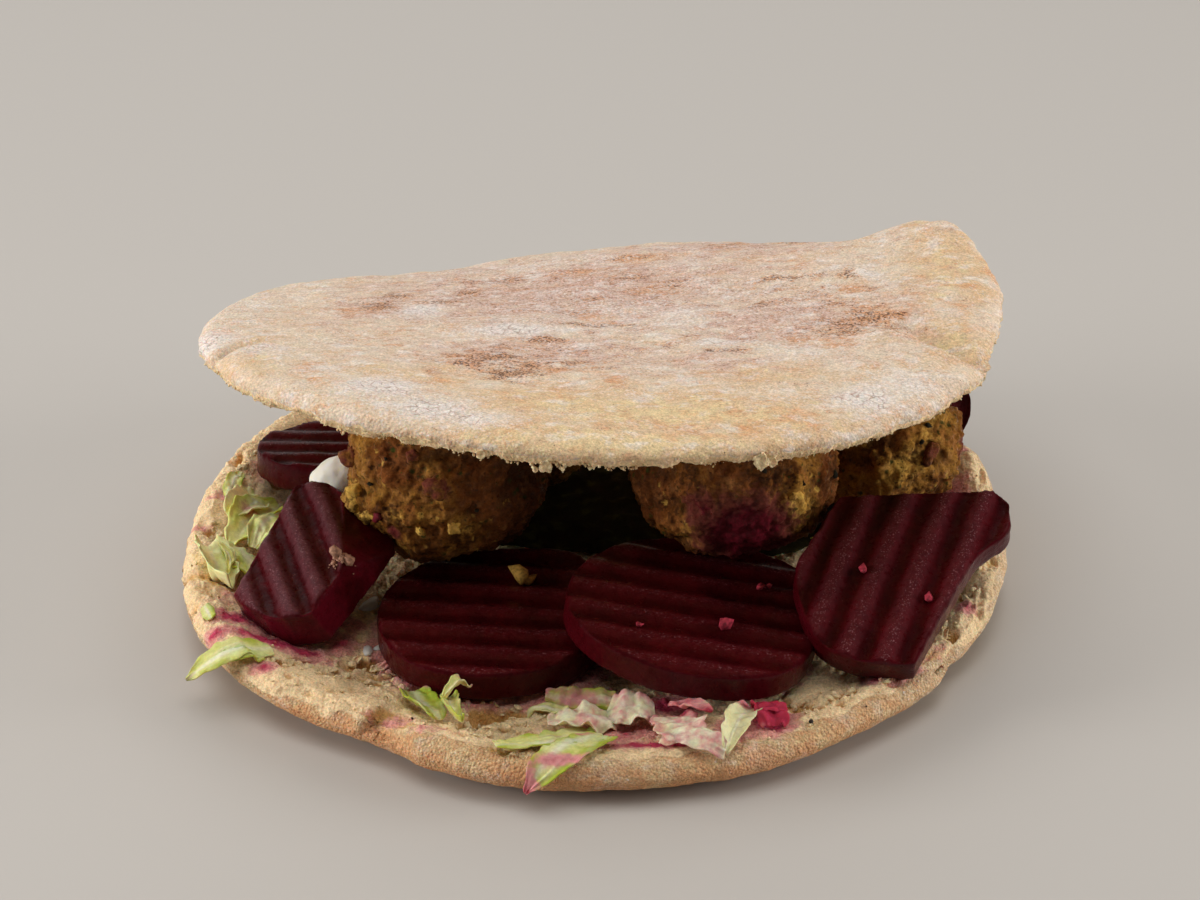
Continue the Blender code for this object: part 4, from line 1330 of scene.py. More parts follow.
def uneven_outline(piece, amount, seed):
    """A beetroot isn't quite round, so its slices aren't either."""
    places = points(piece)
    ring = np.arctan2(places[:, 1], places[:, 0])
    waves = np.sin(2 * ring + seed) + 0.6 * np.sin(3 * ring + 2 * seed) + 0.4 * np.sin(5 * ring - seed)
    swell = 1 + amount * waves
    places[:, :2] *= swell[:, None]
    set_points(piece, places)


def bulge(piece, direction, spread, out):
    """Moves the outline out round one direction, and what lies inside it in proportion."""
    places = points(piece)
    off = (np.arctan2(places[:, 1], places[:, 0]) / DEGREE - direction + 180) % 360 - 180
    share = out * MM * np.exp(-((off / spread) ** 2)) / np.hypot(places[:, 0], places[:, 1]).max()
    places[:, :2] *= (1 + share)[:, None]
    set_points(piece, places)


def add_knob(piece, x, y, radius, out):
    places = points(piece)
    near = np.hypot(places[:, 0] - x * MM, places[:, 1] - y * MM) / (radius * MM)
    places[:, 0] += out * MM * np.exp(-(near**2))
    set_points(piece, places)


def wavy(piece, length, height):
    """The knife's wave, across X: flats on the crests and narrower grooves, as a wavy blade leaves."""
    places, level = points(piece), np.abs(normals(piece)[:, 2])
    wave = np.cos(2 * math.pi * places[:, 0] / length)
    cut = fade(0.80, 0.96, level)
    places[:, 2] += 0.5 * height * (np.tanh(1.4 * wave) / math.tanh(1.4)) * cut
    set_points(piece, places)
    return cut, 0.5 + 0.5 * wave


def beet_slice(node, number):
    middle, halves, turn, tilts, wave, height = SLICE_SHAPES[node]
    thickness = SLICE_THICKNESS + THICKER.get(node, 0) * MM
    bpy.ops.object.select_all(action="DESELECT")
    sunk = (0, 0, (SLICE_THICKNESS - thickness) / 2)
    bpy.ops.mesh.primitive_cylinder_add(vertices=96, radius=1, depth=thickness, location=sunk)
    piece = bpy.context.object
    piece.name = f"{node}_slice"
    piece.scale = (halves[0] * MM, halves[1] * MM, 1)
    bpy.ops.object.transform_apply(location=True, scale=True)
    for direction, rise, distance in FLAT_CUTS.get(node, []):
        cut_flat(piece, direction, rise, distance)
    uneven_outline(piece, 0.014, number)
    remesh(piece, SLICE_CELL, 4)
    for direction, spread, out in BULGES.get(node, []):
        bulge(piece, direction, spread, out)
    if node in KNOBS:
        add_knob(piece, *KNOBS[node])
    cut, crest = wavy(piece, wave * MM, height * MM)
    relief(piece, "CLOUDS", 6 * MM, 0.5 * MM)
    relief(piece, "CLOUDS", 0.8 * MM, 0.12 * MM, noise_depth=2)
    paint(piece, "crest", crest * cut)
    paint(piece, "cut_face", cut)
    # How much painted sheen the slice carries.
    paint(piece, "bloom", np.full(len(cut), BLOOM.get(node, 0.05)))
    lean = Matrix.Rotation(tilts[0] * DEGREE, 4, "X") @ Matrix.Rotation(tilts[1] * DEGREE, 4, "Y")
    place = Matrix.Translation(Vector(middle) * MM)
    piece.data.transform(place @ lean @ Matrix.Rotation(turn * DEGREE, 4, "Z"))
    return piece


slices = {node: beet_slice(node, number) for number, node in enumerate(SLICE_SHAPES)}
for node, piece in slices.items():
    low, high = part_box(node)
    print(node, "off its solid by", ((points(piece).min(0) - low) / MM).round(1), "mm")

# %% [markdown]
# ### Beetroot finish
# Pickled beetroot is a deep wine red that swallows light, with a wet film on top. The cut faces are a little
# grainy. The film's light is painted into the colour: the crests of the waves are painted lighter than the
# grooves, small rose glints are painted on the crests, and some slices carry a painted mauve sheen on the
# crests and a painted crimson highlight on the skin. The skin round the edge is smoother and darker.

# %% Beetroot finish
WINE = (0.076, 0.0024, 0.0045)
DEEP = (0.026, 0.0010, 0.0018)
SKIN = (0.044, 0.0014, 0.0030)
ROSE = (0.60, 0.30, 0.32)
MAUVE = (0.13, 0.045, 0.053)
CRIMSON = (0.13, 0.005, 0.014)


def beetroot_finish(name):
    box = PaintBox(name)
    broad = box.grain(6 * MM, detail=3, shift=1.0)
    fibre = box.grain(1.1 * MM, detail=4, roughness=0.6, shift=3.0)
    crest, cut = box.painted("crest"), box.painted("cut_face")
    # Painted light: the crests of the waves are painted a lighter wine red and the grooves a deeper red,
    # over random patches.
    redder = box.plus(box.times(crest, 0.4), box.times(broad, 0.9))
    colour = box.layer(DEEP, WINE, box.mask(redder, 0.2, 1.0))
    colour = box.layer(SKIN, colour, cut)
    # Painted reflection: a mauve sheen along the crests of the cut faces, as strong as the slice's painted
    # sheen share.
    dried = box.times(box.mask(box.plus(crest, box.times(fibre, 0.8)), 0.55, 1.25), box.painted("bloom"))
    colour = box.layer(colour, MAUVE, dried, cut)
    # Painted highlight: a lighter crimson on the skin round the edge of the slices that carry painted sheen.
    bright_side = box.times(box.mask(broad, 0.35, 0.6), box.times(box.painted("bloom"), box.rest(cut)))
    colour = box.layer(colour, CRIMSON, bright_side)
    # Painted highlights: small rose glints on the crests of the cut faces.
    glitter = box.granules(box.times(box.mask(crest, 0.5, 1.0), 0.26), 0.30 * MM, 2.0)
    colour = box.layer(colour, ROSE, glitter, box.times(cut, 0.30))
    colour = box.uneven(colour, 1.1 * MM, 0.16, 6.0)
    wet = box.plus(0.26, box.times(box.mask(fibre, 0.35, 0.75), 0.22))
    rough = box.bump(fibre, 0.10 * MM)
    rough = box.bump(box.grain(0.4 * MM, detail=2, shift=5.0), 0.05 * MM, rough)
    return box.finish(colour, wet, rough, Specular_IOR_Level=0.15, Coat_Weight=0.05, Coat_Roughness=0.15)


slice_finish = beetroot_finish("pickled_beetroot")
for node, piece in slices.items():
    hand_over(piece, slice_finish, "beetroot", node)

# %% [markdown]
# ## White sauce
# A spoonful of thick yoghurt sauce sits between the slices and the first falafel ball. It holds soft folds
# and has no hard edge, so its plain solid only needs rounding and a few gentle swells. Thin smears of it
# lie on the crumb nearby.

# %% Sauce
SAUCE_WHITE = (1.0, 0.96, 0.85)
# x, y in mm, length and width in mm, of the smears
SMEARS = [
    (-39.5, -16.5, 2.6, 1.6), (-39.0, -32.0, 1.8, 0.9), (-37.0, -30.5, 1.4, 0.8),
]

sauce = working_copy("sauce_dollop", "sauce")
remesh(sauce, 0.40 * MM, 14)
places = points(sauce)
low, high = places.min(0), places.max(0)
to_ball = (places[:, 0] - low[0]) / (high[0] - low[0])
places[:, 2] = low[2] + (places[:, 2] - low[2]) * (0.74 + 0.42 * to_ball)
set_points(sauce, places)
relief(sauce, "CLOUDS", 5 * MM, 1.4 * MM, middle=0.3)
relief(sauce, "CLOUDS", 1.8 * MM, 0.18 * MM)
box = PaintBox("yoghurt_sauce")
thick = box.layer(SAUCE_WHITE, (0.90, 0.80, 0.60), box.mask(box.grain(4 * MM, detail=2), 0.50, 0.85))
film = box.bump(box.grain(0.8 * MM, detail=2), 0.06 * MM)
sauce_finish = box.finish(thick, 0.32, film, Subsurface_Weight=0.4, Subsurface_Scale=0.004,
                          Subsurface_Radius=(1.0, 0.85, 0.6))
hand_over(sauce, sauce_finish, "sauce", "sauce_dollop")

smear_seats = []
for x, y, length, width in SMEARS:
    size = np.array([length, width, 0.35]) * MM
    smear_seats.append(((x * MM, y * MM, bread_under(x * MM, y * MM) + 0.2 * MM), (0, 0, 1), x, size))
smears = strew("sauce_smears", LUMPS, smear_seats)
hand_over(smears, sauce_finish, "sauce")

# %% [markdown]
# ## Lettuce
# Shredded iceberg lettuce is thin, crisp and curled: nearly white along the ribs, green towards the frilled
# edge, and pink where the beetroot has touched it. A shred starts as a fine grid. Its middle line runs from
# end to end over the bread, its edges are lifted and softly creased, fine ribs run along it, and a thin wall
# is added at the end. Past the crest of the rim a shred bends round the crust as far as it droops.

# %% Shape a shred of lettuce
LEAF_WALL = 0.34 * MM
RIM_ROUNDING = 4.3 * MM
LEAF_LOWEST = 0.4 * MM


def on_bread(x, y, height, droop):
    """A point this high over the lower bread, past the crest round the rim and down."""
    _, crest, crest_height = rim_at(np.array([[x, y]]))[0]
    radius = math.hypot(x, y)
    past = radius - crest
    if past <= 0:
        return Vector((x, y, bread_under(x, y) + height))
    bend = RIM_ROUNDING + height
    angle = min(past / bend, math.pi / 2)
    wrapped = crest + bend * math.sin(angle)
    down = bend * (1 - math.cos(angle)) + max(past - bend * math.pi / 2, 0)
    radius += droop * (wrapped - radius)
    outwards = Vector((x, y, 0)).normalized() * radius
    above_table = max(bread_under(x, y), crest_height) + height - droop * down
    return outwards + Vector((0, 0, max(above_table, LEAF_LOWEST)))


def shred(name, ends, width, lift=0.5, arch=0.0, cup=0.0, tilt=0.0, ruffle=0.6, taper=(0.6, 0.6), droop=1.0,
          bow=0.0, seed=0.0,
          green=0.6, rib=0.0, ivory=0.0, grain=4.0, cells=(30, 12)):
    """A shred of leaf between two ends, in mm, narrowed by its taper, with its pale rib at this v."""
    start, end = (Vector((*place, 0)) for place in ends)
    side = Vector((start.y - end.y, end.x - start.x, 0)).normalized()
    long = (end - start).length
    bpy.ops.object.select_all(action="DESELECT")
    bpy.ops.mesh.primitive_grid_add(x_subdivisions=cells[0], y_subdivisions=cells[1], size=2)
    piece = bpy.context.object
    piece.name = name
    flat = points(piece)
    true_size = flat * np.array([long / 2, width / 2, 0])
    wild = patches(true_size, grain, seed) - 0.5
    finer = patches(true_size, 0.45 * grain, seed + 5) - 0.5
    ragged = patches(true_size, 1.1, seed + 9) - 0.5
    ribs = patches(true_size * np.array([0.12, 1, 0]), 0.8, seed + 2) - 0.5
    edge = np.abs(flat[:, 1]) ** 1.5
    places = []
    for number, (u, v, _) in enumerate(flat):
        along = (u + 1) / 2
        narrower = taper[0] * (1 - along) ** 3 + taper[1] * along**3
        edge_wobble = 0.5 * finer[number] + 0.2 * ragged[number]
        half = width / 2 * (1 - narrower) * (1 - 0.25 * abs(u) ** 6) * (0.95 + edge_wobble * abs(v))
        spot = start.lerp(end, along) + side * (half * v + bow * math.sin(math.pi * along))
        crease = (3.2 * wild[number] + 1.6 * finer[number]) * (0.35 + edge[number])
        height = lift + arch * math.sin(math.pi * along) + cup * v * v + tilt * (v + 1)
        height += ruffle * (crease + 0.5) + 0.5 * ribs[number]
        places.append(on_bread(spot.x * MM, spot.y * MM, max(height, 0.25) * MM, droop))
    set_points(piece, [tuple(place) for place in places])
    greens = green * (0.45 + 0.7 * edge) + (0.2 + green) * (1.3 * wild + 0.6 * ribs)
    paint(piece, "green", np.clip(greens, 0, 1))
    along_rib = np.exp(-(((flat[:, 1] - rib) / 0.22) ** 2)) * (1 - 0.5 * np.abs(flat[:, 0]))
    paint(piece, "rib", np.maximum(along_rib, ivory * (0.8 + wild)))
    paint(piece, "vein", fade(0.05, 0.30, ribs))
    wall = piece.modifiers.new("wall", "SOLIDIFY")
    wall.thickness = LEAF_WALL
    wall.offset = 0
    rounder = piece.modifiers.new("rounder", "SUBSURF")
    rounder.levels = rounder.render_levels = 1
    apply_modifiers(piece)
    return piece

# %% [markdown]
# ### Lettuce finish
# A leaf this thin lets light through, which is why even its shaded side glows a little. Subsurface light
# gives that. The colour runs from the ivory rib through yellow-green to the green edge, finely blotched,
# with paler veins, and the juice turns it pink to magenta.

# %% Lettuce finish
LEAF_PALE = (0.70, 0.67, 0.26)
LEAF_GREEN = (0.40, 0.47, 0.050)
LEAF_DEEP = (0.24, 0.33, 0.020)
LEAF_IVORY = (0.84, 0.76, 0.61)
LEAF_PINK = (0.66, 0.27, 0.26)
LEAF_MAGENTA = (0.42, 0.030, 0.065)


def lettuce_finish(name, brighter=1.0):
    """Leaf from ivory rib to green edge. Brighter scales up the leaf colours: a painted highlight for leaves
    that lie open to the light.
    """
    box = PaintBox(name)
    leaves = (LEAF_PALE, LEAF_GREEN, LEAF_DEEP)
    pale, green, deep = (tuple(brighter * channel for channel in leaf) for leaf in leaves)
    blotch = box.grain(2.2 * MM, detail=4, roughness=0.6)
    greener = box.plus(box.painted("green"), box.swing(blotch, 0.6))
    colour = box.layer(pale, green, box.mask(greener, 0.22, 0.72))
    colour = box.layer(colour, deep, box.mask(greener, 0.70, 1.1), 0.8)
    colour = box.layer(colour, LEAF_IVORY, box.painted("rib"), 0.85)
    colour = box.layer(colour, LEAF_IVORY, box.painted("vein"), 0.35)
    colour = box.stained(colour, 2.2 * MM, LEAF_PINK, LEAF_MAGENTA)
    colour = box.uneven(colour, 0.9 * MM, 0.10, 6.0)
    rough = box.bump(box.painted("vein"), 0.12 * MM)
    rough = box.bump(blotch, 0.15 * MM, rough)
    rough = box.bump(box.grain(0.5 * MM, detail=2, shift=3.0), 0.04 * MM, rough)
    return box.finish(colour, 0.42, rough, Subsurface_Weight=0.25, Subsurface_Scale=0.0015)


leaf_finish = lettuce_finish("iceberg_lettuce")
# Painted light: a brighter copy of the leaf finish for the shreds at the left rim.
lit_leaf_finish = lettuce_finish("lit_lettuce", brighter=1.4)


def hand_over_lettuce(name, node, slot, parts, stain=0.0, spots=(), look=leaf_finish):
    """Joins the shreds. Stain is how pink they are all over, spots are ovals of juice."""
    piece = joined(name, parts)
    places = points(piece)
    wet = np.maximum(0.7 * juice(places, 2.5 * MM), stain * (0.5 + patches(places, 3 * MM, 4.0)))
    paint(piece, "juice", np.maximum(wet, ovals(places, spots)) if spots else wet)
    hand_over(piece, look, slot, *([node] if node else []))


# %% [markdown]
# ### The shreds, one by one
# Each shred of the plain model becomes one or several overlapping leaves at the same place.

# %% Lettuce at the left rim
curls = [
    shred("curl_a", [(-57.5, 13), (-65.0, -3)], 9, arch=2.4, cup=1.2, ruffle=0.6, seed=1, green=0.45,
          grain=5),
    shred("curl_b", [(-60, 11), (-66, 3)], 7, arch=1.6, cup=1.6, ruffle=0.6, seed=3, green=0.15, ivory=0.5,
          lift=1.6),
    shred("curl_c", [(-57, 7), (-61, -4)], 7, arch=2.6, ruffle=0.7, seed=5, green=0.6, lift=2.0, ivory=0.2),
]
hand_over_lettuce("curled_lettuce", "lettuce_curl_left", "green_lettuce", curls,
                  spots=[(-63, 6, 2.0, 2.0, 0.35)],
                  look=lit_leaf_finish)
cups = [
    shred("cup_a", [(-69, -6), (-63.5, -17.5)], 8, cup=3.0, ruffle=0.45, seed=2, green=0.40, rib=-0.2,
          ivory=0.5, lift=0.4,
          taper=(0.3, 0.75)),
    shred("cup_b", [(-66, -5), (-60.5, -14)], 6, cup=1.5, ruffle=0.6, seed=6, green=0.65, lift=1.2,
          rib=0.8),
    shred("cup_rib", [(-66.5, -8), (-64.5, -14.5)], 2.0, cup=1.0, ruffle=0.2, seed=4, green=0.0, lift=2.6,
          bow=1.0),
]
hand_over_lettuce("cupped_lettuce", "lettuce_cup_left", "pale_lettuce", cups, look=lit_leaf_finish)
bits = [
    shred("bit_a", [(-67, 11), (-65, 19)], 4, arch=0.6, ruffle=0.4, seed=3, green=0.5),
    shred("bit_b", [(-64, 10), (-63, 15)], 3, arch=1.0, ruffle=0.5, seed=9, green=0.2, lift=0.8),
]
hand_over_lettuce("small_lettuce", "lettuce_bit_left", "green_lettuce", bits)
tips = [
    shred("tip_a", [(-55.0, -37.5), (-72.5, -45.5)], 7, ruffle=0.30, taper=(0.4, 1.0), droop=0.4, seed=4,
          green=0.45, rib=0.1, cup=0.1),
    shred("tip_b", [(-56, -40.5), (-66, -42.5)], 4.0, ruffle=0.3, taper=(0.4, 0.8), droop=0.5, seed=7,
          green=0.7,
          lift=0.3),
    shred("tip_c", [(-67.5, -26.5), (-66, -30.5)], 2.6, ruffle=0.3, seed=13, green=0.6, lift=0.25,
          taper=(0.3, 0.3)),
]
hand_over_lettuce("lettuce_tip", "lettuce_tip_left", "pale_lettuce", tips)

# %% Lettuce at the front
strips = [
    shred("strip_a", [(-31, -46), (-25.5, -58.5)], 6.5, arch=1.0, cup=1.0, ruffle=0.18, seed=5, green=0.9,
          lift=0.8,
          taper=(0.2, 0.5), grain=6),
]
hand_over_lettuce("green_strip", "lettuce_strip_front", "green_lettuce", strips)
ribs = [
    shred("rib_a", [(-20.5, -48), (-25, -51.5)], 3.0, arch=2.4, cup=1.2, ruffle=0.3, seed=6, green=0.1,
          lift=2.4),
    shred("rib_b", [(-24, -49), (-21.5, -61)], 3.6, arch=1.4, cup=1.4, ruffle=0.25, seed=2, green=0.5,
          bow=-0.8,
          lift=1.4, taper=(0.2, 0.8)),
]
hand_over_lettuce("curled_rib", "lettuce_rib_front", "pale_lettuce", ribs,
                  spots=[(-20.5, -48, 1.6, 1.4, 0.6)])
leaves = [
    shred("leaf_a", [(1.5, -60.5), (-16, -67.5)], 8.5, ruffle=0.35, taper=(0.0, 0.6), seed=7, green=0.50,
          rib=0.5,
          cup=0.4, grain=4, droop=0.8, lift=0.7),
    shred("leaf_b", [(2, -62), (-11.5, -77)], 8, ruffle=0.30, taper=(0.0, 0.85), seed=9, green=0.75,
          rib=-0.3,
          lift=1.1, cup=0.5, grain=4),
]
hand_over_lettuce("front_leaf", "lettuce_leaf_front", "pale_lettuce", leaves,
                  spots=[(-12, -76, 3.0, 4.0, 1.3), (-4, -71, 6, 1.2, 0.7), (-2, -62, 6, 1.0, 0.35)])
unders = [
    shred("under_a", [(-8, -48), (4, -49)], 4, ruffle=0.5, seed=8, green=1.0, lift=0.6, tilt=0.8,
          taper=(0.4, 0.2)),
    shred("under_b", [(-11, -50.5), (-4, -51.5)], 3.0, ruffle=0.5, seed=4, green=0.15, lift=1.0,
          taper=(0.8, 0.3)),
]
hand_over_lettuce("lettuce_under_slices", "lettuce_under_beets", "green_lettuce", unders,
                  spots=[(-2, -48, 7, 2, 0.45)])
soaked = [
    shred("soaked_a", [(-7.5, -57), (4, -56)], 7, arch=1.2, ruffle=0.9, seed=14, green=0.1, ivory=0.9,
          lift=0.5,
          grain=2.6, tilt=0.5, taper=(0.5, 0.2)),
    shred("soaked_b", [(2.5, -54.5), (10.5, -54.0)], 9, arch=1.8, ruffle=0.9, seed=15, green=0.0, ivory=1.0,
          lift=0.6,
          grain=2.6, tilt=0.8, taper=(0.3, 0.3)),
]
hand_over_lettuce("soaked_lettuce", "", "pink_lettuce", soaked, stain=0.26)
pinks = [
    shred("pink_a", [(13, -55), (15.5, -66.5)], 9, arch=1.4, ruffle=0.55, seed=9, green=0.0, cup=0.6,
          taper=(0.2, 0.1),
          lift=0.8, grain=3.4, ivory=1.0),
    shred("pink_c", [(11.5, -64), (22, -68.5)], 4.5, arch=0.6, ruffle=0.4, seed=12, green=0.0, tilt=0.8,
          taper=(0.1, 0.5),
          lift=0.8, grain=3, ivory=1.0),
    shred("pink_b", [(13, -53), (20, -57)], 4, arch=1.0, ruffle=0.5, seed=3, green=0.0, lift=2.6,
          ivory=0.5),
]
hand_over_lettuce("pink_shred", "lettuce_pink_shred", "pink_lettuce", pinks, stain=0.30,
                  spots=[(14, -54.5, 6, 2.6, 0.8), (19, -57, 3.5, 1.8, 0.9), (10, -59, 1.5, 3, 0.4)])
pales = [
    shred("pale_a", [(22, -68.5), (27, -53.5)], 5.5, arch=1.2, ruffle=0.22, seed=10, green=0.15, cup=1.0,
          lift=0.8,
          tilt=0.6, ivory=0.5, grain=5, taper=(0.7, 0.2)),
]
hand_over_lettuce("pale_shred", "lettuce_pale_shred", "pale_lettuce", pales,
                  spots=[(25, -54, 2.4, 2.4, 0.7)])
deeps = [
    shred("deep_a", [(30.2, -60.5), (29, -51.5)], 6.0, arch=1.6, ruffle=0.8, seed=11, green=0.0, lift=0.8,
          grain=1.8,
          taper=(0.1, 0.1)),
    shred("deep_b", [(27, -56), (32.5, -57)], 5, arch=1.0, ruffle=0.5, seed=16, green=0.0, lift=1.4,
          grain=2.5),
]
hand_over_lettuce("deep_pink_piece", "lettuce_pink_piece", "pink_lettuce", deeps, stain=1.1)

# %% [markdown]
# ### The bed of lettuce
# Under the falafel lies a heap of shreds that is only seen through the gaps. Its plain solid shrinks to a
# dark core that fills the middle, and real shreds in all directions lie over it. The core takes the place
# of the deep shadow between shreds, so it is nearly black, with a hint of green.

# %% Lettuce bed
SHADE = (0.013, 0.009, 0.004)
SHADE_GREEN = (0.040, 0.038, 0.008)

core = working_copy("lettuce_bed", "lettuce_core")
remesh(core, 1.0 * MM, 6)
relief(core, "CLOUDS", 4 * MM, 1.6 * MM, noise_depth=2)
relief(core, "CLOUDS", 1.6 * MM, 0.8 * MM)
box = PaintBox("lettuce_in_shade")
shade = box.layer(SHADE, SHADE_GREEN, box.mask(box.grain(3 * MM, detail=4), 0.5, 0.75))
shade_finish = box.finish(shade, 0.7, box.bump(box.grain(0.8 * MM, detail=3), 0.2 * MM),
                          Specular_IOR_Level=0.1)


def bed_shreds(chance, count):
    """Small curled strips in every direction over the bed, none in the mouth between the front balls."""
    parts = []
    low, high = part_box("lettuce_bed")
    middle, half = (low + high) / 2 / MM, (high - low) / 2 / MM
    for number in range(count):
        turn, far = chance.uniform(0, 2 * math.pi), math.sqrt(chance.uniform(0.05, 1))
        x = middle.x + half.x * far * math.cos(turn)
        y = middle.y + half.y * far * math.sin(turn)
        heading, length = chance.uniform(0, math.pi), chance.uniform(6, 13)
        ends = [(x, y), (x + length * math.cos(heading), y + length * math.sin(heading))]
        lift = 2.6 if far < 0.8 else 1.0
        width, arch, green = chance.uniform(2.5, 4.5), chance.uniform(0, 2), chance.uniform(0.1, 1)
        if abs(x) < 30 and y < 20:
            continue
        look = {"seed": number, "arch": arch, "green": green}
        parts.append(shred(f"bed_{number}", ends, width, lift=lift, ruffle=0.7, cells=(12, 5), **look))
    return parts


bed = joined("lettuce_shreds", bed_shreds(np.random.default_rng(21), 70))
paint(bed, "juice", 0.7 * juice(points(bed), 4 * MM))
hand_over(core, shade_finish, "green_lettuce", "lettuce_bed")
hand_over(bed, leaf_finish, "green_lettuce")

# %% [markdown]
# ## Crumbs and specks
# The last layer is the smallest: bread crumbs on the rim, bits of beetroot, chickpea and herb, a burnt
# speck on the crust. They tell the eye how large everything is. The ones that catch the eye have their own
# places, the rest fall at random. The bits on the falafel are given by a turn and a height on their ball
# and sit half in its surface, as they would in coarse paste.

# %% Small bits on top
EVERYTHING = [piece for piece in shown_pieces() if piece.type == "MESH"]
SURFACES = [tree_of(piece) for piece in EVERYTHING]


def lands_on(x, y):
    """Place and normal of the highest surface here but for the upper bread, and whose surface it is."""
    best = (Vector((x, y, 0)), Vector((0, 0, 1)), None)
    for piece, tree in zip(EVERYTHING, SURFACES):
        if piece is upper or piece is hanging:
            continue
        hit, normal, _, _ = tree.ray_cast(Vector((x, y, 80 * MM)), Vector((0, 0, -1)))
        if hit and hit.z > best[0].z:
            best = (hit, normal, piece)
    return best


def bit_seats(chance, wanted, only_on=()):
    """Seats for bits given as x, y and size in mm. Those that miss the pieces named are left out."""
    seats = []
    for x, y, size in wanted:
        place, normal, under = lands_on(x * MM, y * MM)
        if under is None or (only_on and under not in only_on):
            continue
        sizes = size * MM * chance.uniform(0.35, 0.6, 3)
        seats.append((place + normal * sizes[2] * 0.8, normal, chance.uniform(0, ANY_TURN), sizes))
    return seats


def ball_seats(chance, wanted, sink=0.45):
    """Seats for bits given as a ball, a turn and a height on it and a size, set into the ball."""
    trees = {node: tree_of(ball) for node, ball in balls.items()}
    seats = []
    for node, turn, height, size in wanted:
        nearest, normal, _, _ = trees[node].find_nearest(Vector(on_ball(node, turn, height)) * MM)
        sizes = size * MM * chance.uniform(0.35, 0.6, 3)
        seats.append((nearest + normal * sizes[2] * (1 - 2 * sink), normal, chance.uniform(0, ANY_TURN),
                      sizes))
    return seats


def plain_bits(name, colour, roughness, seed, wanted, slot, models=LUMPS, find_seats=bit_seats):
    """One piece of many bits of one colour, unevenly toned."""
    box = PaintBox(name)
    dark = tuple(0.45 * channel for channel in colour)
    tone = box.layer(dark, colour, box.mask(box.grain(0.6 * MM, detail=3, shift=seed), 0.3, 0.6))
    look = box.finish(tone, roughness, box.bump(box.grain(0.3 * MM, detail=2), 0.05 * MM))
    piece = strew(name, models, find_seats(np.random.default_rng(seed), wanted))
    hand_over(piece, look, slot)


def cluster(chance, x, y, spread, count, largest):
    """Places for a heap of crumbs that are larger in its middle, as x, y and size in mm."""
    places = []
    for _ in range(count):
        off = chance.normal(0, spread, 2)
        size = largest * chance.uniform(0.4, 1) * math.exp(-float(np.hypot(*off)) / (1.6 * spread))
        places.append((x + 1.3 * off[0], y + off[1], max(size, 0.3)))
    return places


# x, y and size in mm
PINK_CUBES = [(22.5, -39, 2.2), (29, -26.5, 1.8), (30.5, -25.5, 1.2), (8, -41, 1.2), (57.5, -35, 2.0),
              (47, -30, 1.6)]
CHICKPEA_CRUMBS = [(-12.6, -18.8, 4.4), (-11.2, -20.2, 2.0), (65, -11.5, 1.5)]
BURNT_SPECKS = [(36.5, -58.5, 0.8), (-30, -57, 0.5), (46, -53, 0.4)]
# ball, turn and height on it in degrees, and size in mm
CHICKPEAS = [
    (LEFT, -75, -20, 4.6), (LEFT, -65, -10, 3.6), (LEFT, -70, -30, 3.6), (LEFT, -55, -25, 3.0),
    (LEFT, 5, -20, 2.6), (LEFT, -15, -25, 2.0), (MIDDLE, 35, -5, 2.0),
]
BALL_LUMPS = [(LEFT, -5, 5, 4.2), (LEFT, -20, 25, 3.2), (LEFT, -80, 5, 3.2), (RIGHT, 40, 15, 3.6)]
BLACK_HERBS = [
    (LEFT, -50, 0, 1.0), (LEFT, -40, 20, 0.7), (LEFT, 20, -10, 0.9), (MIDDLE, 55, 25, 1.6),
    (MIDDLE, 70, -5, 1.3), (MIDDLE, 15, 20, 1.0), (MIDDLE, 35, 25, 0.9), (MIDDLE, 40, 5, 0.9),
    (RIGHT, -20, 40, 1.3), (RIGHT, 45, 35, 1.2), (RIGHT, 30, 25, 0.9),
]
RED_BIT = [(LEFT, -45, -20, 2.0)]
SHARDS = [rough_lump(seed, 0.9, 1, 1) for seed in (7.0, 8.0)]
BULKY = [rough_lump(seed, 0.6, 3, 1) for seed in (1.5, 2.6, 3.7)]
plain_bits("beet_bits", (0.50, 0.05, 0.08), 0.3, 31, PINK_CUBES, "beetroot", SHARDS)
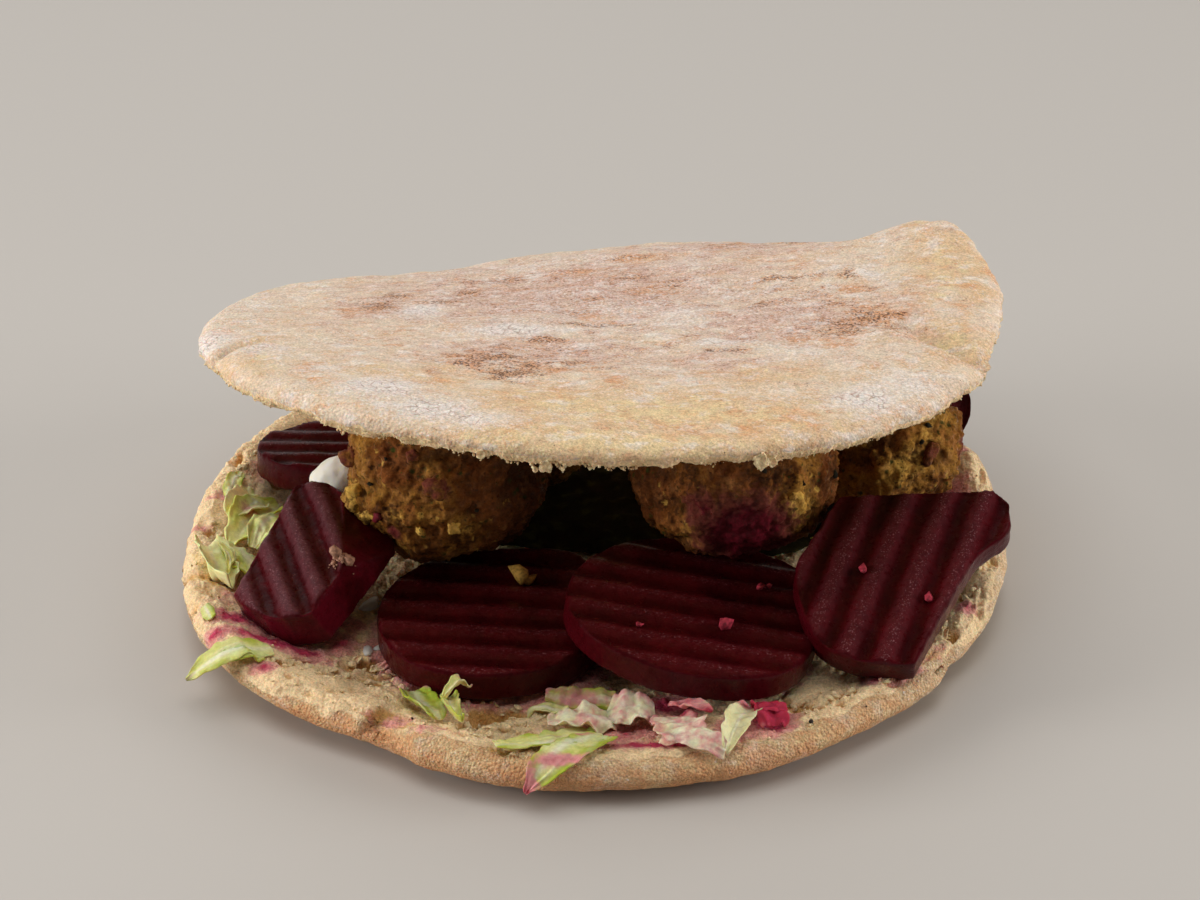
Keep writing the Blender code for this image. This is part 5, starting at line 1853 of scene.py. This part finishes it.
plain_bits("chickpea_crumbs", (0.56, 0.32, 0.07), 0.6, 32, CHICKPEA_CRUMBS, "falafel", SHARDS)
plain_bits("black_herbs", (0.016, 0.015, 0.009), 0.9, 37, BLACK_HERBS, "falafel", SHARDS, ball_seats)
plain_bits("red_bit", (0.16, 0.010, 0.02), 0.5, 38, RED_BIT, "beetroot", BULKY, ball_seats)
# name, places, and how pale and how wet with juice
PASTE_BITS = (("chickpea_bits", CHICKPEAS, 1.3, 0.0), ("fried_lumps", BALL_LUMPS, 0.3, 0.35))
for name, wanted, pale, wet in PASTE_BITS:
    bits = strew(name, BULKY, ball_seats(np.random.default_rng(35), wanted, 0.6))
    for value, amount in (("pale", pale), ("juice", wet), ("pit", 0.0), ("crisp", 0.0)):
        paint(bits, value, np.full(len(points(bits)), amount))
    hand_over(bits, ball_finish, "falafel")
soaked_heap = cluster(np.random.default_rng(40), -43.4, -24.8, 0.75, 44, 1.9)
soaked_heap += [(-43.9, -24.2, 2.4), (-42.6, -25.2, 2.2)]
plain_bits("soaked_crumbs", (0.56, 0.30, 0.20), 0.8, 34, soaked_heap, "bread")
plain_bits("burnt_specks", (0.05, 0.035, 0.03), 0.7, 33, BURNT_SPECKS, "bread")

chance = np.random.default_rng(41)
round_rim = []
for _ in range(300):
    turn = chance.uniform(-math.pi, 0.2)
    far = (rim_at(np.array([[math.cos(turn), math.sin(turn)]]))[0, 1] / MM - chance.uniform(-1.5, 12))
    round_rim.append((far * math.cos(turn), far * math.sin(turn), chance.uniform(0.2, 0.6)))
crumbs = strew("bread_crumbs", LUMPS, bit_seats(chance, round_rim, only_on=(lower, rags)))
paint_small(crumbs, 3 * MM, 0.0)
hand_over(crumbs, crumb_finish, "bread")

# %% [markdown]
# ## The sizes, and the end
# The dressed pita must be as large as its plain solids. Both boxes are printed.

# %% Sizes, and the end
look_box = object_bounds()
for name, corners in (("plain", cad_box), ("dressed", look_box)):
    print(name, [round(value / MM, 1) for corner in corners for value in corner], "mm")
